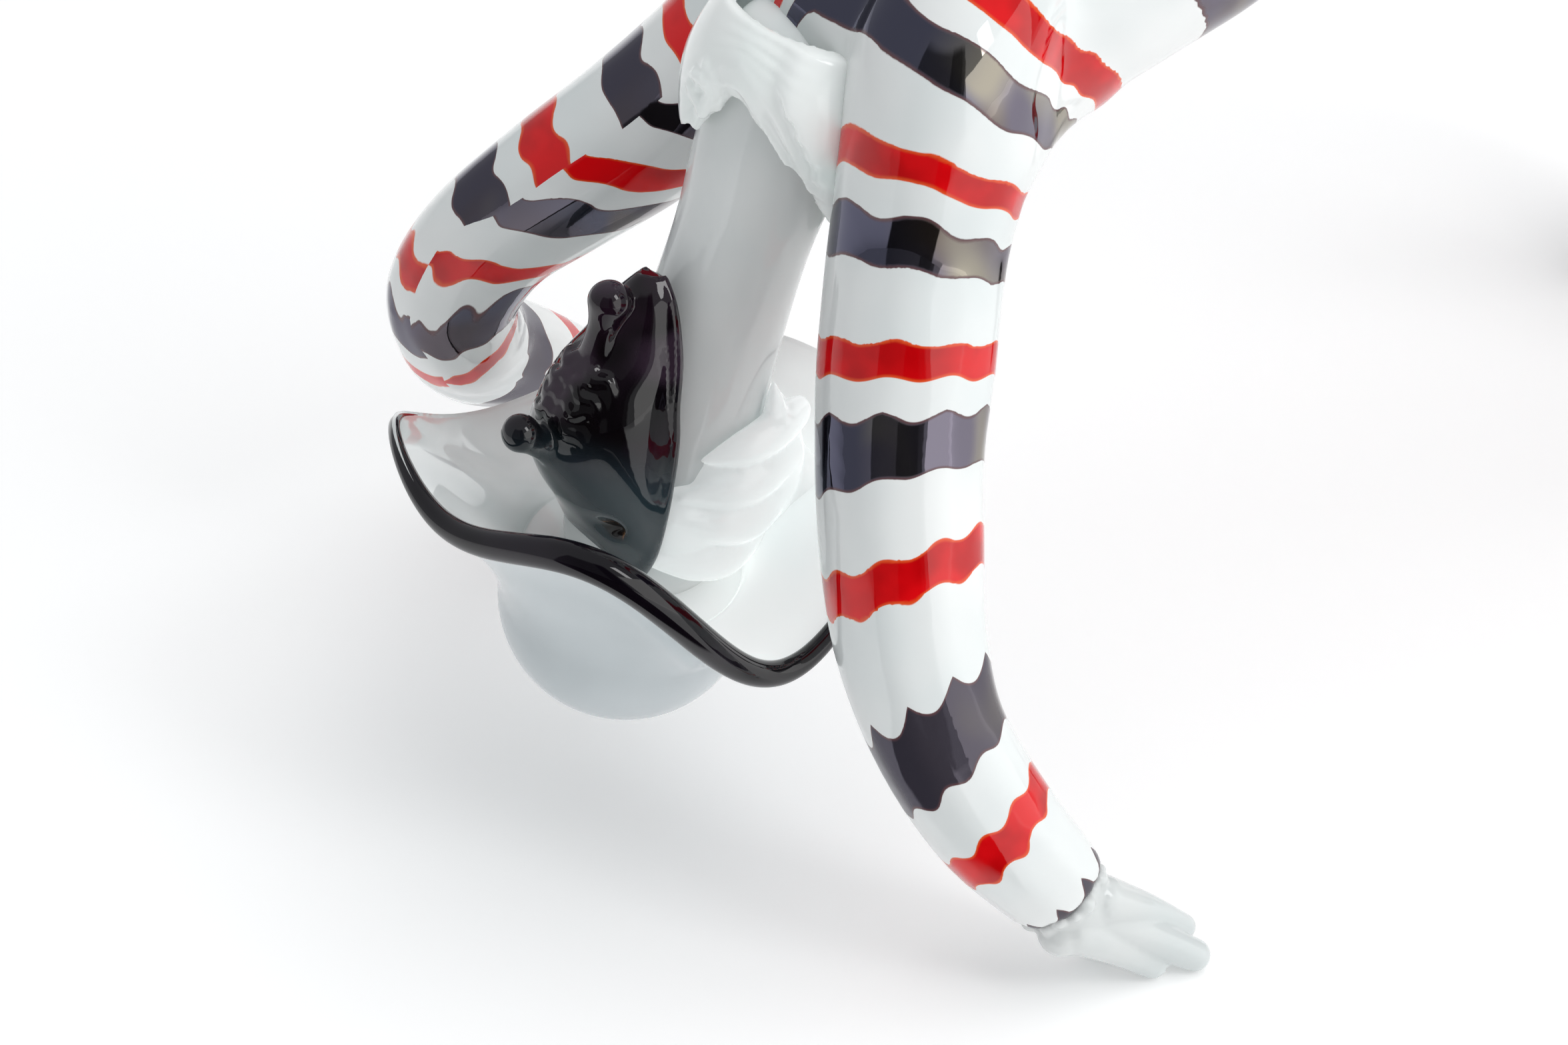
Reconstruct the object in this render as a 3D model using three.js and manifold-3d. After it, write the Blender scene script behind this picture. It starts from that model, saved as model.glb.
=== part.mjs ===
// A hot-worked glass acrobat of the comedy stage, arched backwards over his spread hands and feet.
// Millimetres, +Z up. +X runs from the hands to the feet, +Y to the far hand, and the floor is Z = 0.
import * as THREE from "three";
import { mergeVertices } from "three/addons/utils/BufferGeometryUtils.js";
import Module from "manifold-3d";

const wasm = await Module();
wasm.setup();

// Driving dimensions
const FIGURE_HEIGHT = 142; // the floor to the top of the arch
const CLEARANCE = 0.3; // between pieces that were fused when hot
const UPPER_ARM_RADIUS = 11.4;
const WRIST_RADIUS = 7;
const HAND_SPREAD = 138; // between the two palms
const HAND_WIDTH = 9.5;
const HAND_LENGTH = 14;
const FINGER_RADIUS = 1.8;
const TORSO_HALF_WIDTH = 23;
const TORSO_HALF_DEPTH = 18;
const THIGH_RADIUS = 13;
const ANKLE_RADIUS = 7.5;
const FOOT_SPREAD = 62; // between the two heels
const SHOE_LENGTH = 34;
const SHOE_RADIUS = 7.2;
const NECK_RADIUS = 8.8;
const CROWN_RADIUS = 16.8;
const HAT_WALL = 2.4;
const BRIM_REACH = 32.7; // from the hat's middle to its rim, on average
const BRIM_RISE = 17; // from the crown's widest ring to the rim, on average
const RIM_RADIUS = 1.9; // the dark glass thread round the brim, where it is thickest
const THIN_RIM_RADIUS = 0.8;
const MASK_HALF_WIDTH = 11.4;
const MASK_REACH = 24; // from the head's middle line to the front of the mask
const NOSE_REACH = 27.5;
const KNOB_RADIUS = 2.3;
const CREASE_RADIUS = 1.3;
const EYE_RADIUS = 1.7;
const LOCK_RADIUS = 2.8;
const COLLAR_WALL = 1.6;
const COLLAR_BULGE = 3.4;
const COLLAR_LENGTH = 19;
const COLLAR_FRILL = 0.8;

// Facets
const LIMB_SIDES = 14;
const BODY_SIDES = 18;
const SMALL_SIDES = 8;
const HAT_SIDES = 28;
const BRIM_STEPS = 5;
const CROWN_STEPS = 4;
const COLLAR_SIDES = 26;

const vec = (p) => new THREE.Vector3(...p);
const mix = THREE.MathUtils.lerp;
const degrees = THREE.MathUtils.degToRad;
const roundTurn = (sides) => Array.from({ length: sides }, (_, i) => (2 * Math.PI * i) / sides);

// The pose is drawn on a figure 142 high: +X and +Z in that scale, and Y as a share of half a spread.
const POSE_SCALE = FIGURE_HEIGHT / 142;
const posed = (x, y, z) => new THREE.Vector3(x, y, z).multiplyScalar(POSE_SCALE);

// A closed three.js geometry as a solid that can be joined and cut.
function solid(geometry) {
  const bare = geometry.clone();
  bare.deleteAttribute("normal");
  bare.deleteAttribute("uv");
  const merged = mergeVertices(bare, 1e-4);
  return new wasm.Manifold(
    new wasm.Mesh({
      numProp: 3,
      vertProperties: merged.attributes.position.array,
      triVerts: new Uint32Array(merged.index.array),
    }),
  );
}

// Joined solids as one.
const join = (parts) => parts.reduce((whole, part) => whole.add(part));

// The biggest body of a cut solid, without the crumbs.
const largest = (made) => made.decompose().reduce((best, part) => (part.volume() > best.volume() ? part : best));

// A closed skin over rings of points, with a fan from each end ring to a middle point.
function skin(rings, first, last) {
  const sides = rings[0].length;
  const points = [...rings.flat(), first, last];
  const faces = [];
  const at = (ring, side) => ring * sides + (side % sides);
  const firstPoint = rings.length * sides;
  for (let side = 0; side < sides; side++) {
    faces.push(firstPoint, at(0, side + 1), at(0, side));
    for (let ring = 0; ring + 1 < rings.length; ring++) {
      faces.push(at(ring, side), at(ring, side + 1), at(ring + 1, side));
      faces.push(at(ring, side + 1), at(ring + 1, side + 1), at(ring + 1, side));
    }
    faces.push(firstPoint + 1, at(rings.length - 1, side), at(rings.length - 1, side + 1));
  }
  const geometry = new THREE.BufferGeometry().setFromPoints(points);
  geometry.setIndex(faces);
  return geometry;
}

// A tapering rod along a smooth curve. Each stop is { at, wide, deep }: a point and the half sizes of the
// section there, wide along "side" and deep across it. A round end is domed and a flat one is cut square.
function rod(stops, { sides = LIMB_SIDES, steps = 16, side = [0, 1, 0], domed = [false, false], domes = 2, grow = 0 } = {}) {
  const path = new THREE.CatmullRomCurve3(stops.map((stop) => vec(stop.at)));
  const sizes = new THREE.CatmullRomCurve3(
    stops.map((stop) => new THREE.Vector3(stop.wide, stop.deep ?? stop.wide, 0)),
  );
  const rings = [];
  let across = vec(side);
  const ring = (t, forward, share) => {
    const tangent = path.getTangent(t);
    across = across.clone().addScaledVector(tangent, -across.dot(tangent)).normalize();
    const up = new THREE.Vector3().crossVectors(tangent, across);
    const size = sizes.getPoint(t);
    const centre = path.getPoint(t).addScaledVector(tangent, forward * Math.min(size.x, size.y));
    return Array.from({ length: sides }, (_, i) => {
      const angle = (2 * Math.PI * i) / sides;
      return centre
        .clone()
        .addScaledVector(across, Math.cos(angle) * (size.x * share + grow))
        .addScaledVector(up, Math.sin(angle) * (size.y * share + grow));
    });
  };
  const dome = (t, direction) =>
    Array.from({ length: domes }, (_, i) => {
      const angle = (Math.PI / 2) * ((i + 1) / (domes + 1));
      return ring(t, direction * Math.sin(angle), Math.cos(angle));
    });
  if (domed[0]) rings.push(...dome(0, -1).reverse());
  for (let i = 0; i <= steps; i++) rings.push(ring(i / steps, 0, 1));
  if (domed[1]) rings.push(...dome(1, 1));
  const tip = (t, direction, isDomed) => {
    const size = sizes.getPoint(t);
    const reach = (isDomed ? Math.min(size.x, size.y) : 0) + grow;
    return path.getPoint(t).addScaledVector(path.getTangent(t), direction * reach);
  };
  return solid(skin(rings, tip(0, -1, domed[0]), tip(1, 1, domed[1])));
}

// A ball, or with three radii an egg.
function ball(centre, radii, sides = 12) {
  const geometry = new THREE.SphereGeometry(1, sides, Math.round(sides * 0.65));
  geometry.scale(...(Array.isArray(radii) ? radii : [radii, radii, radii]));
  geometry.translate(...centre);
  return solid(geometry);
}

// Everything under the floor, to cut a palm or sole flat.
function belowFloor() {
  const size = FIGURE_HEIGHT * 6;
  const geometry = new THREE.BoxGeometry(size, size, size);
  geometry.translate(0, 0, -size / 2);
  return solid(geometry);
}

// The limbs and the body

// A stop of a limb. The thickness share runs from 0, at the shoulder or hip, to 1, at the wrist or ankle.
const limbStop = (x, y, z, radius) => ({ at: [x * POSE_SCALE, y, z * POSE_SCALE], wide: radius });
const armStop = (x, y, z, share) =>
  limbStop(x, (y * HAND_SPREAD) / 2, z, mix(UPPER_ARM_RADIUS, WRIST_RADIUS, share));
const legStop = (x, y, z, share) =>
  limbStop(x, (y * FOOT_SPREAD) / 2, z, mix(THIGH_RADIUS, ANKLE_RADIUS, share));

const NEAR_ARM = [
  armStop(4, -0.16, 113, -0.2),
  armStop(-5, -0.27, 110, -0.15),
  armStop(-9, -0.32, 99, -0.1),
  armStop(-12, -0.35, 89, 0.05),
  armStop(-16, -0.42, 77, 0.05),
  armStop(-19.5, -0.49, 67.5, 0.18),
  armStop(-22, -0.565, 58, 0.23),
  armStop(-23.8, -0.65, 47, 0.38),
  armStop(-23.4, -0.74, 37, 0.6),
  armStop(-18.5, -0.825, 24.8, 0.68),
  armStop(-11, -0.9, 13.4, 1),
];

const FAR_ARM = [
  armStop(4, 0.13, 111, -0.1),
  armStop(-7, 0.21, 104, 0.1),
  armStop(-17, 0.315, 89.5, 0.15),
  armStop(-25, 0.39, 80, 0.2),
  armStop(-33.5, 0.47, 71.5, 0.35),
  armStop(-41.4, 0.55, 62.5, 0.52),
  armStop(-45.5, 0.6, 53.5, 0.52),
  armStop(-44, 0.65, 45, 0.58),
  armStop(-39.6, 0.72, 37, 0.65),
  armStop(-31, 0.78, 29.6, 0.8),
  armStop(-20, 0.875, 18.3, 0.95),
  armStop(-15, 0.915, 13.4, 1),
];

const TORSO = [
  { x: -4, z: 107.5, wide: 0.86, deep: 0.82 },
  { x: 11, z: 108, wide: 1, deep: 0.98 },
  { x: 32, z: 114.5, wide: 1, deep: 1 },
  { x: 58, z: 122, wide: 0.86, deep: 0.86 },
  { x: 84, z: 126, wide: 0.92, deep: 0.9 },
  { x: 106, z: 121, wide: 1, deep: 0.92 },
].map(({ x, z, wide, deep }) => ({
  at: posed(x, 0, z).toArray(),
  wide: wide * TORSO_HALF_WIDTH,
  deep: deep * TORSO_HALF_DEPTH,
}));

// A leg on the side given by the sign.
const leg = (sign) => [
  legStop(100, sign * 0.32, 122, 0),
  legStop(126, sign * 0.45, 114, 0),
  legStop(146, sign * 0.65, 98, 0.25),
  legStop(157, sign * 0.8, 76, 0.4),
  legStop(159, sign * 0.9, 52, 0.62),
  legStop(155, sign * 0.97, 29, 0.85),
  legStop(149, sign, 13, 1),
];

function suit(grow = 0) {
  const limb = { steps: 15, domed: [true, false], grow };
  return join([
    rod(TORSO, { steps: 9, sides: BODY_SIDES, domed: [true, true], grow }),
    rod(NEAR_ARM, limb),
    rod(FAR_ARM, limb),
    rod(leg(-1), limb),
    rod(leg(1), limb),
  ]);
}

// The room that the suit takes up, with a gap round it.
const SUIT_ROOM = suit(CLEARANCE);

// Hands and shoes

// Where a hand or shoe meets its limb, a gap away from the limb's end.
function limbEnd(limb) {
  const end = vec(limb.at(-1).at);
  const heading = end.clone().sub(vec(limb.at(-2).at)).normalize();
  return end.addScaledVector(heading, CLEARANCE);
}

// A hand at the end of an arm: a thick palm that leans down to the floor, and four short fused fingers.
function hand(arm, sign) {
  const start = limbEnd(arm);
  const reach = new THREE.Vector3(0.88, sign * 0.47, 0).normalize();
  const side = new THREE.Vector3(-reach.y, reach.x, 0);
  const heelY = sign * (HAND_SPREAD / 2 - HAND_WIDTH * 0.26);
  const heel = new THREE.Vector3(-2 * POSE_SCALE, heelY, HAND_WIDTH * 0.34);
  const middle = start.clone().lerp(heel, 0.45);
  const palm = rod(
    [
      { at: start.toArray(), wide: WRIST_RADIUS * 0.82, deep: WRIST_RADIUS * 0.72 },
      { at: middle.toArray(), wide: HAND_WIDTH * 0.62, deep: HAND_WIDTH * 0.56 },
      { at: heel.toArray(), wide: HAND_WIDTH * 0.56, deep: HAND_WIDTH * 0.54 },
    ],
    { sides: 12, steps: 4, side: side.toArray(), domed: [false, true] },
  );
  const fingers = [-1.5, -0.5, 0.5, 1.5].map((slot) => {
    const length = HAND_LENGTH * (0.74 - 0.07 * Math.abs(slot + 0.5));
    const root = heel.clone().addScaledVector(side, slot * HAND_WIDTH * 0.25);
    const tip = root.clone().addScaledVector(reach, length).addScaledVector(side, slot * HAND_WIDTH * 0.05);
    tip.z = FINGER_RADIUS * 0.8;
    return rod(
      [
        { at: root.toArray(), wide: FINGER_RADIUS * 1.4 },
        { at: tip.toArray(), wide: FINGER_RADIUS },
      ],
      { sides: SMALL_SIDES, steps: 2, side: side.toArray(), domed: [true, true], domes: 1 },
    );
  });
  return largest(join([palm, ...fingers]).subtract(belowFloor()).subtract(SUIT_ROOM));
}

// A plain pointed slipper under a leg's end.
function shoe(sign) {
  const start = limbEnd(leg(sign));
  const reach = new THREE.Vector3(0.94, sign * 0.34, 0).normalize();
  const side = new THREE.Vector3(-reach.y, reach.x, 0).toArray();
  const heel = new THREE.Vector3(start.x - ANKLE_RADIUS * 0.25, start.y, SHOE_RADIUS * 0.72);
  const along = (share, height) => {
    const point = heel.clone().addScaledVector(reach, share * SHOE_LENGTH);
    point.z = SHOE_RADIUS * height;
    return point.toArray();
  };
  const upper = rod(
    [
      { at: start.toArray(), wide: ANKLE_RADIUS * 0.94 },
      { at: heel.clone().lerp(start, 0.35).toArray(), wide: ANKLE_RADIUS * 0.92 },
      { at: heel.toArray(), wide: ANKLE_RADIUS * 0.85 },
    ],
    { sides: 12, steps: 3, side, domed: [false, true] },
  );
  const sole = rod(
    [
      { at: along(0, 0.72), wide: SHOE_RADIUS * 0.88, deep: SHOE_RADIUS * 0.9 },
      { at: along(0.35, 0.66), wide: SHOE_RADIUS, deep: SHOE_RADIUS * 0.82 },
      { at: along(0.7, 0.5), wide: SHOE_RADIUS * 0.86, deep: SHOE_RADIUS * 0.62 },
      { at: along(1, 0.42), wide: SHOE_RADIUS * 0.42, deep: SHOE_RADIUS * 0.42 },
    ],
    { sides: 12, steps: 6, side, domed: [true, true] },
  );
  return largest(join([upper, sole]).subtract(belowFloor()).subtract(SUIT_ROOM));
}

// The hat: a round crown with a brim that flares from it and rises and falls in waves.
// Round the hat an angle starts at +X and turns towards +Y, and each wave is
// [how many to a turn, its height as a share of the mean, the angle of a crest in degrees].

const CROWN_CENTRE = posed(-41, 0, 29);
const HAT_AXIS = new THREE.Vector3(0.093, -0.14, 0.985).normalize(); // up out of the crown, to the neck
const RISE_WAVES = [
  [1, 0.35, 249],
  [2, 0.465, 13],
  [3, 0.12, 1],
  [4, 0.205, 54.5],
];
const REACH_WAVES = [
  [1, 0.098, 56],
  [3, 0.024, 2],
];
const THICK_RIM_ANGLE = degrees(235);

const waved = (mean, waves, angle) =>
  waves.reduce((sum, [count, height, crest]) => sum + mean * height * Math.cos(count * (angle - degrees(crest))), mean);

// A point of the brim. The share runs from 0, at the crown's widest ring, to 1, at the rim.
function brimPoint(angle, share, inward = 0, upward = 0) {
  const radius = mix(CROWN_RADIUS, waved(BRIM_REACH, REACH_WAVES, angle), share ** 1.7) - inward;
  const rise = waved(BRIM_RISE, RISE_WAVES, angle) * share + upward;
  return new THREE.Vector3(Math.cos(angle) * radius, Math.sin(angle) * radius, rise);
}

// Turns hat coordinates, with the crown's centre at the origin and +Z up out of it, into the figure's.
function placeHat(geometry) {
  geometry.applyQuaternion(new THREE.Quaternion().setFromUnitVectors(new THREE.Vector3(0, 0, 1), HAT_AXIS));
  geometry.translate(...CROWN_CENTRE.toArray());
  return geometry;
}

// The rings of a bowl from its pole to the rim, its skin this far in from the outer one.
function bowlRings(depth) {
  const radius = CROWN_RADIUS - depth;
  const rings = [];
  for (let i = 1; i <= CROWN_STEPS; i++) {
    const dip = (Math.PI / 2) * (1 - i / CROWN_STEPS);
    const ring = (a) => new THREE.Vector3(Math.cos(a), Math.sin(a), -Math.tan(dip));
    rings.push(roundTurn(HAT_SIDES).map((a) => ring(a).multiplyScalar(radius * Math.cos(dip))));
  }
  for (let i = 1; i <= BRIM_STEPS; i++) {
    const share = i / BRIM_STEPS;
    rings.push(roundTurn(HAT_SIDES).map((a) => brimPoint(a, share, depth * (1 - share), depth * share)));
  }
  return rings;
}

function hatShell(grow = 0) {
  const wall = HAT_WALL + grow;
  const rings = [...bowlRings(-grow), ...bowlRings(wall).reverse()];
  const pole = (depth) => new THREE.Vector3(0, 0, depth - CROWN_RADIUS);
  return solid(placeHat(skin(rings, pole(-grow), pole(wall))));
}

const HAT_ROOM = hatShell(CLEARANCE);

// A closed loop of rings, each ring joined to the next and the last one to the first.
function loop(rings) {
  const sides = rings[0].length;
  const faces = [];
  rings.forEach((_, r) => {
    const next = (r + 1) % rings.length;
    for (let i = 0; i < sides; i++) {
      const j = (i + 1) % sides;
      const [a, b, c, d] = [r * sides + i, r * sides + j, next * sides + i, next * sides + j];
      faces.push(a, b, c, b, d, c);
    }
  });
  const geometry = new THREE.BufferGeometry().setFromPoints(rings.flat());
  geometry.setIndex(faces);
  return geometry;
}

// The dark thread along the rim, thick at the near side and thin at the far one.
function rimThread(grow = 0) {
  const centre = (angle) => brimPoint(angle, 1, 0, HAT_WALL / 2);
  const rings = roundTurn(HAT_SIDES).map((angle) => {
    const along = centre(angle + 0.01).sub(centre(angle - 0.01)).normalize();
    const out = new THREE.Vector3(Math.cos(angle), Math.sin(angle), 0);
    out.addScaledVector(along, -out.dot(along)).normalize();
    const up = new THREE.Vector3().crossVectors(along, out);
    const nearness = Math.max(0, Math.cos(angle - THICK_RIM_ANGLE));
    const radius = mix(THIN_RIM_RADIUS, RIM_RADIUS, nearness ** 1.3) + grow;
    return roundTurn(6).map((turn) =>
      centre(angle).addScaledVector(out, Math.cos(turn) * radius).addScaledVector(up, Math.sin(turn) * radius),
    );
  });
  return solid(placeHat(loop(rings)));
}

// The head, in its own directions: down along the neck, forward to the face, and to the far side

const NECK_BASE = posed(-17.2, 0, 97.9);
const HEAD_DOWN = new THREE.Vector3(-0.33, 0, -0.944).normalize();
const FACE_TURN = degrees(10); // towards the near side
const FORWARD = new THREE.Vector3(-Math.cos(FACE_TURN), -Math.sin(FACE_TURN), 0);
FORWARD.addScaledVector(HEAD_DOWN, -FORWARD.dot(HEAD_DOWN)).normalize();
const FACE_SIDE = new THREE.Vector3().crossVectors(FORWARD, HEAD_DOWN);
const SKULL_RADIUS = CROWN_RADIUS - HAT_WALL - 2 * CLEARANCE;

// How far down is in the pose's scale. Forward and side are real sizes.
const headPoint = (down, forward = 0, side = 0) =>
  NECK_BASE.clone()
    .addScaledVector(HEAD_DOWN, down * POSE_SCALE)
    .addScaledVector(FORWARD, forward)
    .addScaledVector(FACE_SIDE, side)
    .toArray();

function head(grow = 0) {
  const stop = (down, wide, deep = wide) => ({
    at: headPoint(down),
    wide: wide * NECK_RADIUS,
    deep: deep * NECK_RADIUS,
  });
  const neck = rod(
    [stop(-16, 1.1), stop(6, 1.1), stop(20, 1), stop(36, 1.02, 1.1), stop(50, 1.12, 1.24), stop(62, 1.2, 1.3)],
    { sides: 16, steps: 9, side: FACE_SIDE.toArray(), domed: [true, true], grow },
  );
  return join([neck, ball(CROWN_CENTRE.toArray(), SKULL_RADIUS + grow)]);
}

const HEAD_ROOM = head(CLEARANCE);

// The mask, from chin to brow: how far down the head, and its front edge, back edge and half width
// as shares of the mask's reach and half width.
const MASK_STOPS = [
  { down: 25, front: 0.52, back: 0.4, wide: 0.27 },
  { down: 28.5, front: 0.65, back: 0.34, wide: 0.44 },
  { down: 34, front: 0.73, back: 0.27, wide: 0.66 },
  { down: 40, front: 0.84, back: 0.2, wide: 0.82 },
  { down: 45, front: 0.89, back: 0.14, wide: 0.92 },
  { down: 51, front: 0.82, back: 0.08, wide: 1 },
  { down: 58, front: 0.68, back: 0.04, wide: 1 },
  { down: 64, front: 0.52, back: 0, wide: 0.84 },
];

function maskBlank(grow = 0) {
  const stops = MASK_STOPS.map(({ down, front, back, wide }) => ({
    at: headPoint(down, (MASK_REACH * (front + back)) / 2),
    wide: wide * MASK_HALF_WIDTH,
    deep: (MASK_REACH * (front - back)) / 2,
  }));
  return rod(stops, { sides: 14, steps: 9, side: FACE_SIDE.toArray(), domed: [true, true], grow });
}

// A stalk with a rounded end.
const knob = (root, tip, waist) =>
  rod(
    [
      { at: root, wide: KNOB_RADIUS * 1.1 },
      { at: vec(root).lerp(vec(tip), 0.5).toArray(), wide: KNOB_RADIUS * waist },
      { at: tip, wide: KNOB_RADIUS },
    ],
    { sides: SMALL_SIDES, steps: 4, domed: [true, true] },
  );

// A raised crease across the mask, its middle this share of the way to the mask's front.
function crease(down, share) {
  const bend = CREASE_RADIUS * 2;
  const side = MASK_HALF_WIDTH * 0.53;
  const middle = MASK_REACH * share;
  return rod(
    [
      { at: headPoint(down, middle - bend, -side), wide: CREASE_RADIUS * 0.6 },
      { at: headPoint(down - 1, middle, 0), wide: CREASE_RADIUS },
      { at: headPoint(down, middle - bend, side), wide: CREASE_RADIUS * 0.6 },
    ],
    { sides: 6, steps: 4, side: HEAD_DOWN.toArray(), domed: [true, true], domes: 1 },
  );
}

function mask() {
  const chin = knob(headPoint(31, MASK_REACH * 0.67), headPoint(26.5, MASK_REACH * 0.775), 0.8);
  const nose = knob(headPoint(47, MASK_REACH * 0.79), headPoint(45, NOSE_REACH), 0.9);
  const creases = [crease(36, 0.76), crease(39, 0.82), crease(42, 0.87)];
  const eyes = [-1, 1].map((sign) =>
    ball(headPoint(56, MASK_REACH * 0.68, sign * MASK_HALF_WIDTH * 0.49), EYE_RADIUS, 8),
  );
  const made = join([maskBlank(), chin, nose, ...creases]).subtract(join(eyes));
  return largest(made.subtract(HEAD_ROOM).subtract(HAT_ROOM));
}

// The wig: locks that sweep from the mask's edge round to the back of the head

const LOCKS = [
  { down: 40, back: 1.3 },
  { down: 46, back: 1.48 },
  { down: 52, back: 1.48 },
  { down: 58, back: 1.14 },
];

function hair() {
  const base = ball(headPoint(50, NECK_RADIUS * -0.9), [1.08, 1.3, 1.3].map((share) => share * NECK_RADIUS));
  const stop = (down, forward, side, thick) => ({
    at: headPoint(down, forward * NECK_RADIUS, side * NECK_RADIUS),
    wide: LOCK_RADIUS * thick,
  });
  const locks = [-1, 1].flatMap((sign) =>
    LOCKS.map(({ down, back }) =>
      rod(
        [
          stop(down + 3, 0.45, sign * 1.2, 0.6),
          stop(down + 2, -0.34, sign * 1.25, 1),
          stop(down - 1, 0.11 - back, sign * 0.9, 1.1),
          stop(down - 4, -0.45 - back, sign * 0.23, 0.8),
        ],
        { sides: SMALL_SIDES - 1, steps: 4, side: HEAD_DOWN.toArray(), domed: [true, true], domes: 1 },
      ),
    ),
  );
  const made = join([base, ...locks]).subtract(HEAD_ROOM).subtract(maskBlank(CLEARANCE));
  return largest(made.subtract(HAT_ROOM));
}

// The collar: a frilled sheet round the base of the neck, with a long lappet on either side of a parting

const LAPPET_ANGLE = degrees(330);
const PARTING_ANGLE = degrees(205);

function collarPoint(angle, share, outward) {
  const parted = Math.exp(-(((angle - PARTING_ANGLE) / 0.3) ** 2));
  const lappets = 0.3 * Math.cos(angle - LAPPET_ANGLE) + 0.25 * Math.cos(2 * (angle - LAPPET_ANGLE));
  const length = COLLAR_LENGTH * (1 + lappets - 0.25 * parted);
  const bulge = COLLAR_BULGE * (1 + 0.35 * Math.cos(angle - LAPPET_ANGLE)) * Math.sin(Math.PI * 0.85 * share);
  const frill = COLLAR_FRILL * share ** 3 * Math.sin(9 * angle);
  const radius = NECK_RADIUS * 1.1 + 2 * CLEARANCE + bulge + frill + outward;
  const away = new THREE.Vector3(-HEAD_DOWN.z, 0, HEAD_DOWN.x);
  return vec(headPoint(-12))
    .addScaledVector(HEAD_DOWN, length * share)
    .addScaledVector(away, Math.cos(angle) * radius)
    .addScaledVector(new THREE.Vector3(0, 1, 0), Math.sin(angle) * radius);
}

function collar() {
  const shares = [0, 0.2, 0.4, 0.6, 0.8, 1];
  const around = (share, outward) => roundTurn(COLLAR_SIDES).map((angle) => collarPoint(angle, share, outward));
  const rings = [
    ...shares.map((share) => around(share, 0)),
    ...shares.map((share) => around(share, COLLAR_WALL)).reverse(),
  ];
  return largest(solid(loop(rings)).subtract(SUIT_ROOM).subtract(HEAD_ROOM));
}

// Assembly

const WHITE_GLASS = { color: 0xe6eeec, roughness: 0.08, metalness: 0 };
const BLACK_GLASS = { color: 0x0a090c, roughness: 0.05, metalness: 0 };
const STRIPED_GLASS = { color: 0xdde3e2, roughness: 0.06, metalness: 0 };

function piece(name, made, material) {
  const mesh = made.getMesh();
  const geometry = new THREE.BufferGeometry();
  geometry.setAttribute("position", new THREE.BufferAttribute(mesh.vertProperties, 3));
  geometry.setIndex(new THREE.BufferAttribute(mesh.triVerts, 1));
  geometry.computeVertexNormals();
  const object = new THREE.Mesh(geometry, new THREE.MeshStandardMaterial(material));
  object.name = name;
  return object;
}

const pose = new THREE.Group();
pose.add(
  piece("striped_suit", suit(), STRIPED_GLASS),
  piece("near_hand", hand(NEAR_ARM, -1), WHITE_GLASS),
  piece("far_hand", hand(FAR_ARM, 1), WHITE_GLASS),
  piece("near_shoe", shoe(-1), BLACK_GLASS),
  piece("far_shoe", shoe(1), BLACK_GLASS),
  piece("head", largest(head().subtract(SUIT_ROOM).subtract(HAT_ROOM)), WHITE_GLASS),
  piece("mask", mask(), BLACK_GLASS),
  piece("hair", hair(), WHITE_GLASS),
  piece("hat", largest(hatShell().subtract(rimThread(CLEARANCE))), WHITE_GLASS),
  piece("hat_rim", rimThread(), BLACK_GLASS),
  piece("collar", collar(), WHITE_GLASS),
);

// The origin is on the floor under the middle of the figure.
const middle = new THREE.Box3().setFromObject(pose).getCenter(new THREE.Vector3());
pose.position.set(-middle.x, -middle.y, 0);

const figure = new THREE.Group();
figure.add(pose);

export default figure;
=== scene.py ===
"""A hot-worked glass acrobat in a backbend, dressed for its picture. Lengths are in metres."""
import math

import bpy
import numpy as np
from mathutils import Matrix, Vector


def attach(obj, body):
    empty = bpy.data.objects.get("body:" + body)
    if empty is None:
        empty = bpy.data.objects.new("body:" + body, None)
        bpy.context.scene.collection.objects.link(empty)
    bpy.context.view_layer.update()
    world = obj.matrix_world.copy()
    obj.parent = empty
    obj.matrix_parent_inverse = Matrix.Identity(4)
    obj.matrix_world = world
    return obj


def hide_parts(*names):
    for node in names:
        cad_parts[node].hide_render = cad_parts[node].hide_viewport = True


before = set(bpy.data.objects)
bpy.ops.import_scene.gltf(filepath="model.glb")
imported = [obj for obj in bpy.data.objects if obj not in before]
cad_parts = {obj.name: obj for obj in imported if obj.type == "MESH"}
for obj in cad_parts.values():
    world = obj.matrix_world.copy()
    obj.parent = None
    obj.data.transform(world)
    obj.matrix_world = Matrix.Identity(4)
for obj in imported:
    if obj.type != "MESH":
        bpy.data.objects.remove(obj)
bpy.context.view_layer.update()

# Driving dimensions
MM = 0.001
FIGURE_HEIGHT = 142 * MM
UPPER_ARM_RADIUS = 11.4 * MM
WRIST_RADIUS = 7 * MM
HAND_SPREAD = 138 * MM
HAND_WIDTH = 9.5 * MM
HAND_LENGTH = 14 * MM
FINGER_RADIUS = 1.8 * MM
TORSO_HALF_WIDTH = 23 * MM
TORSO_HALF_DEPTH = 18 * MM
THIGH_RADIUS = 13 * MM
ANKLE_RADIUS = 7.5 * MM
FOOT_SPREAD = 62 * MM
SHOE_LENGTH = 34 * MM
SHOE_RADIUS = 7.2 * MM
NECK_RADIUS = 8.8 * MM
CROWN_RADIUS = 16.8 * MM
HAT_WALL = 2.4 * MM
BRIM_REACH = 32.7 * MM
BRIM_RISE = 17 * MM
RIM_RADIUS = 2.2 * MM
THIN_RIM_RADIUS = 0.8 * MM
MASK_HALF_WIDTH = 11.4 * MM
MASK_REACH = 24 * MM
KNOB_RADIUS = 2.3 * MM
CREASE_RADIUS = 1.3 * MM
EYE_RADIUS = 1.9 * MM
LOCK_RADIUS = 2.8 * MM
COLLAR_WALL = 1.6 * MM
COLLAR_BULGE = 3.4 * MM
COLLAR_LENGTH = 19 * MM
COLLAR_FRILL = 0.8 * MM
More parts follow.
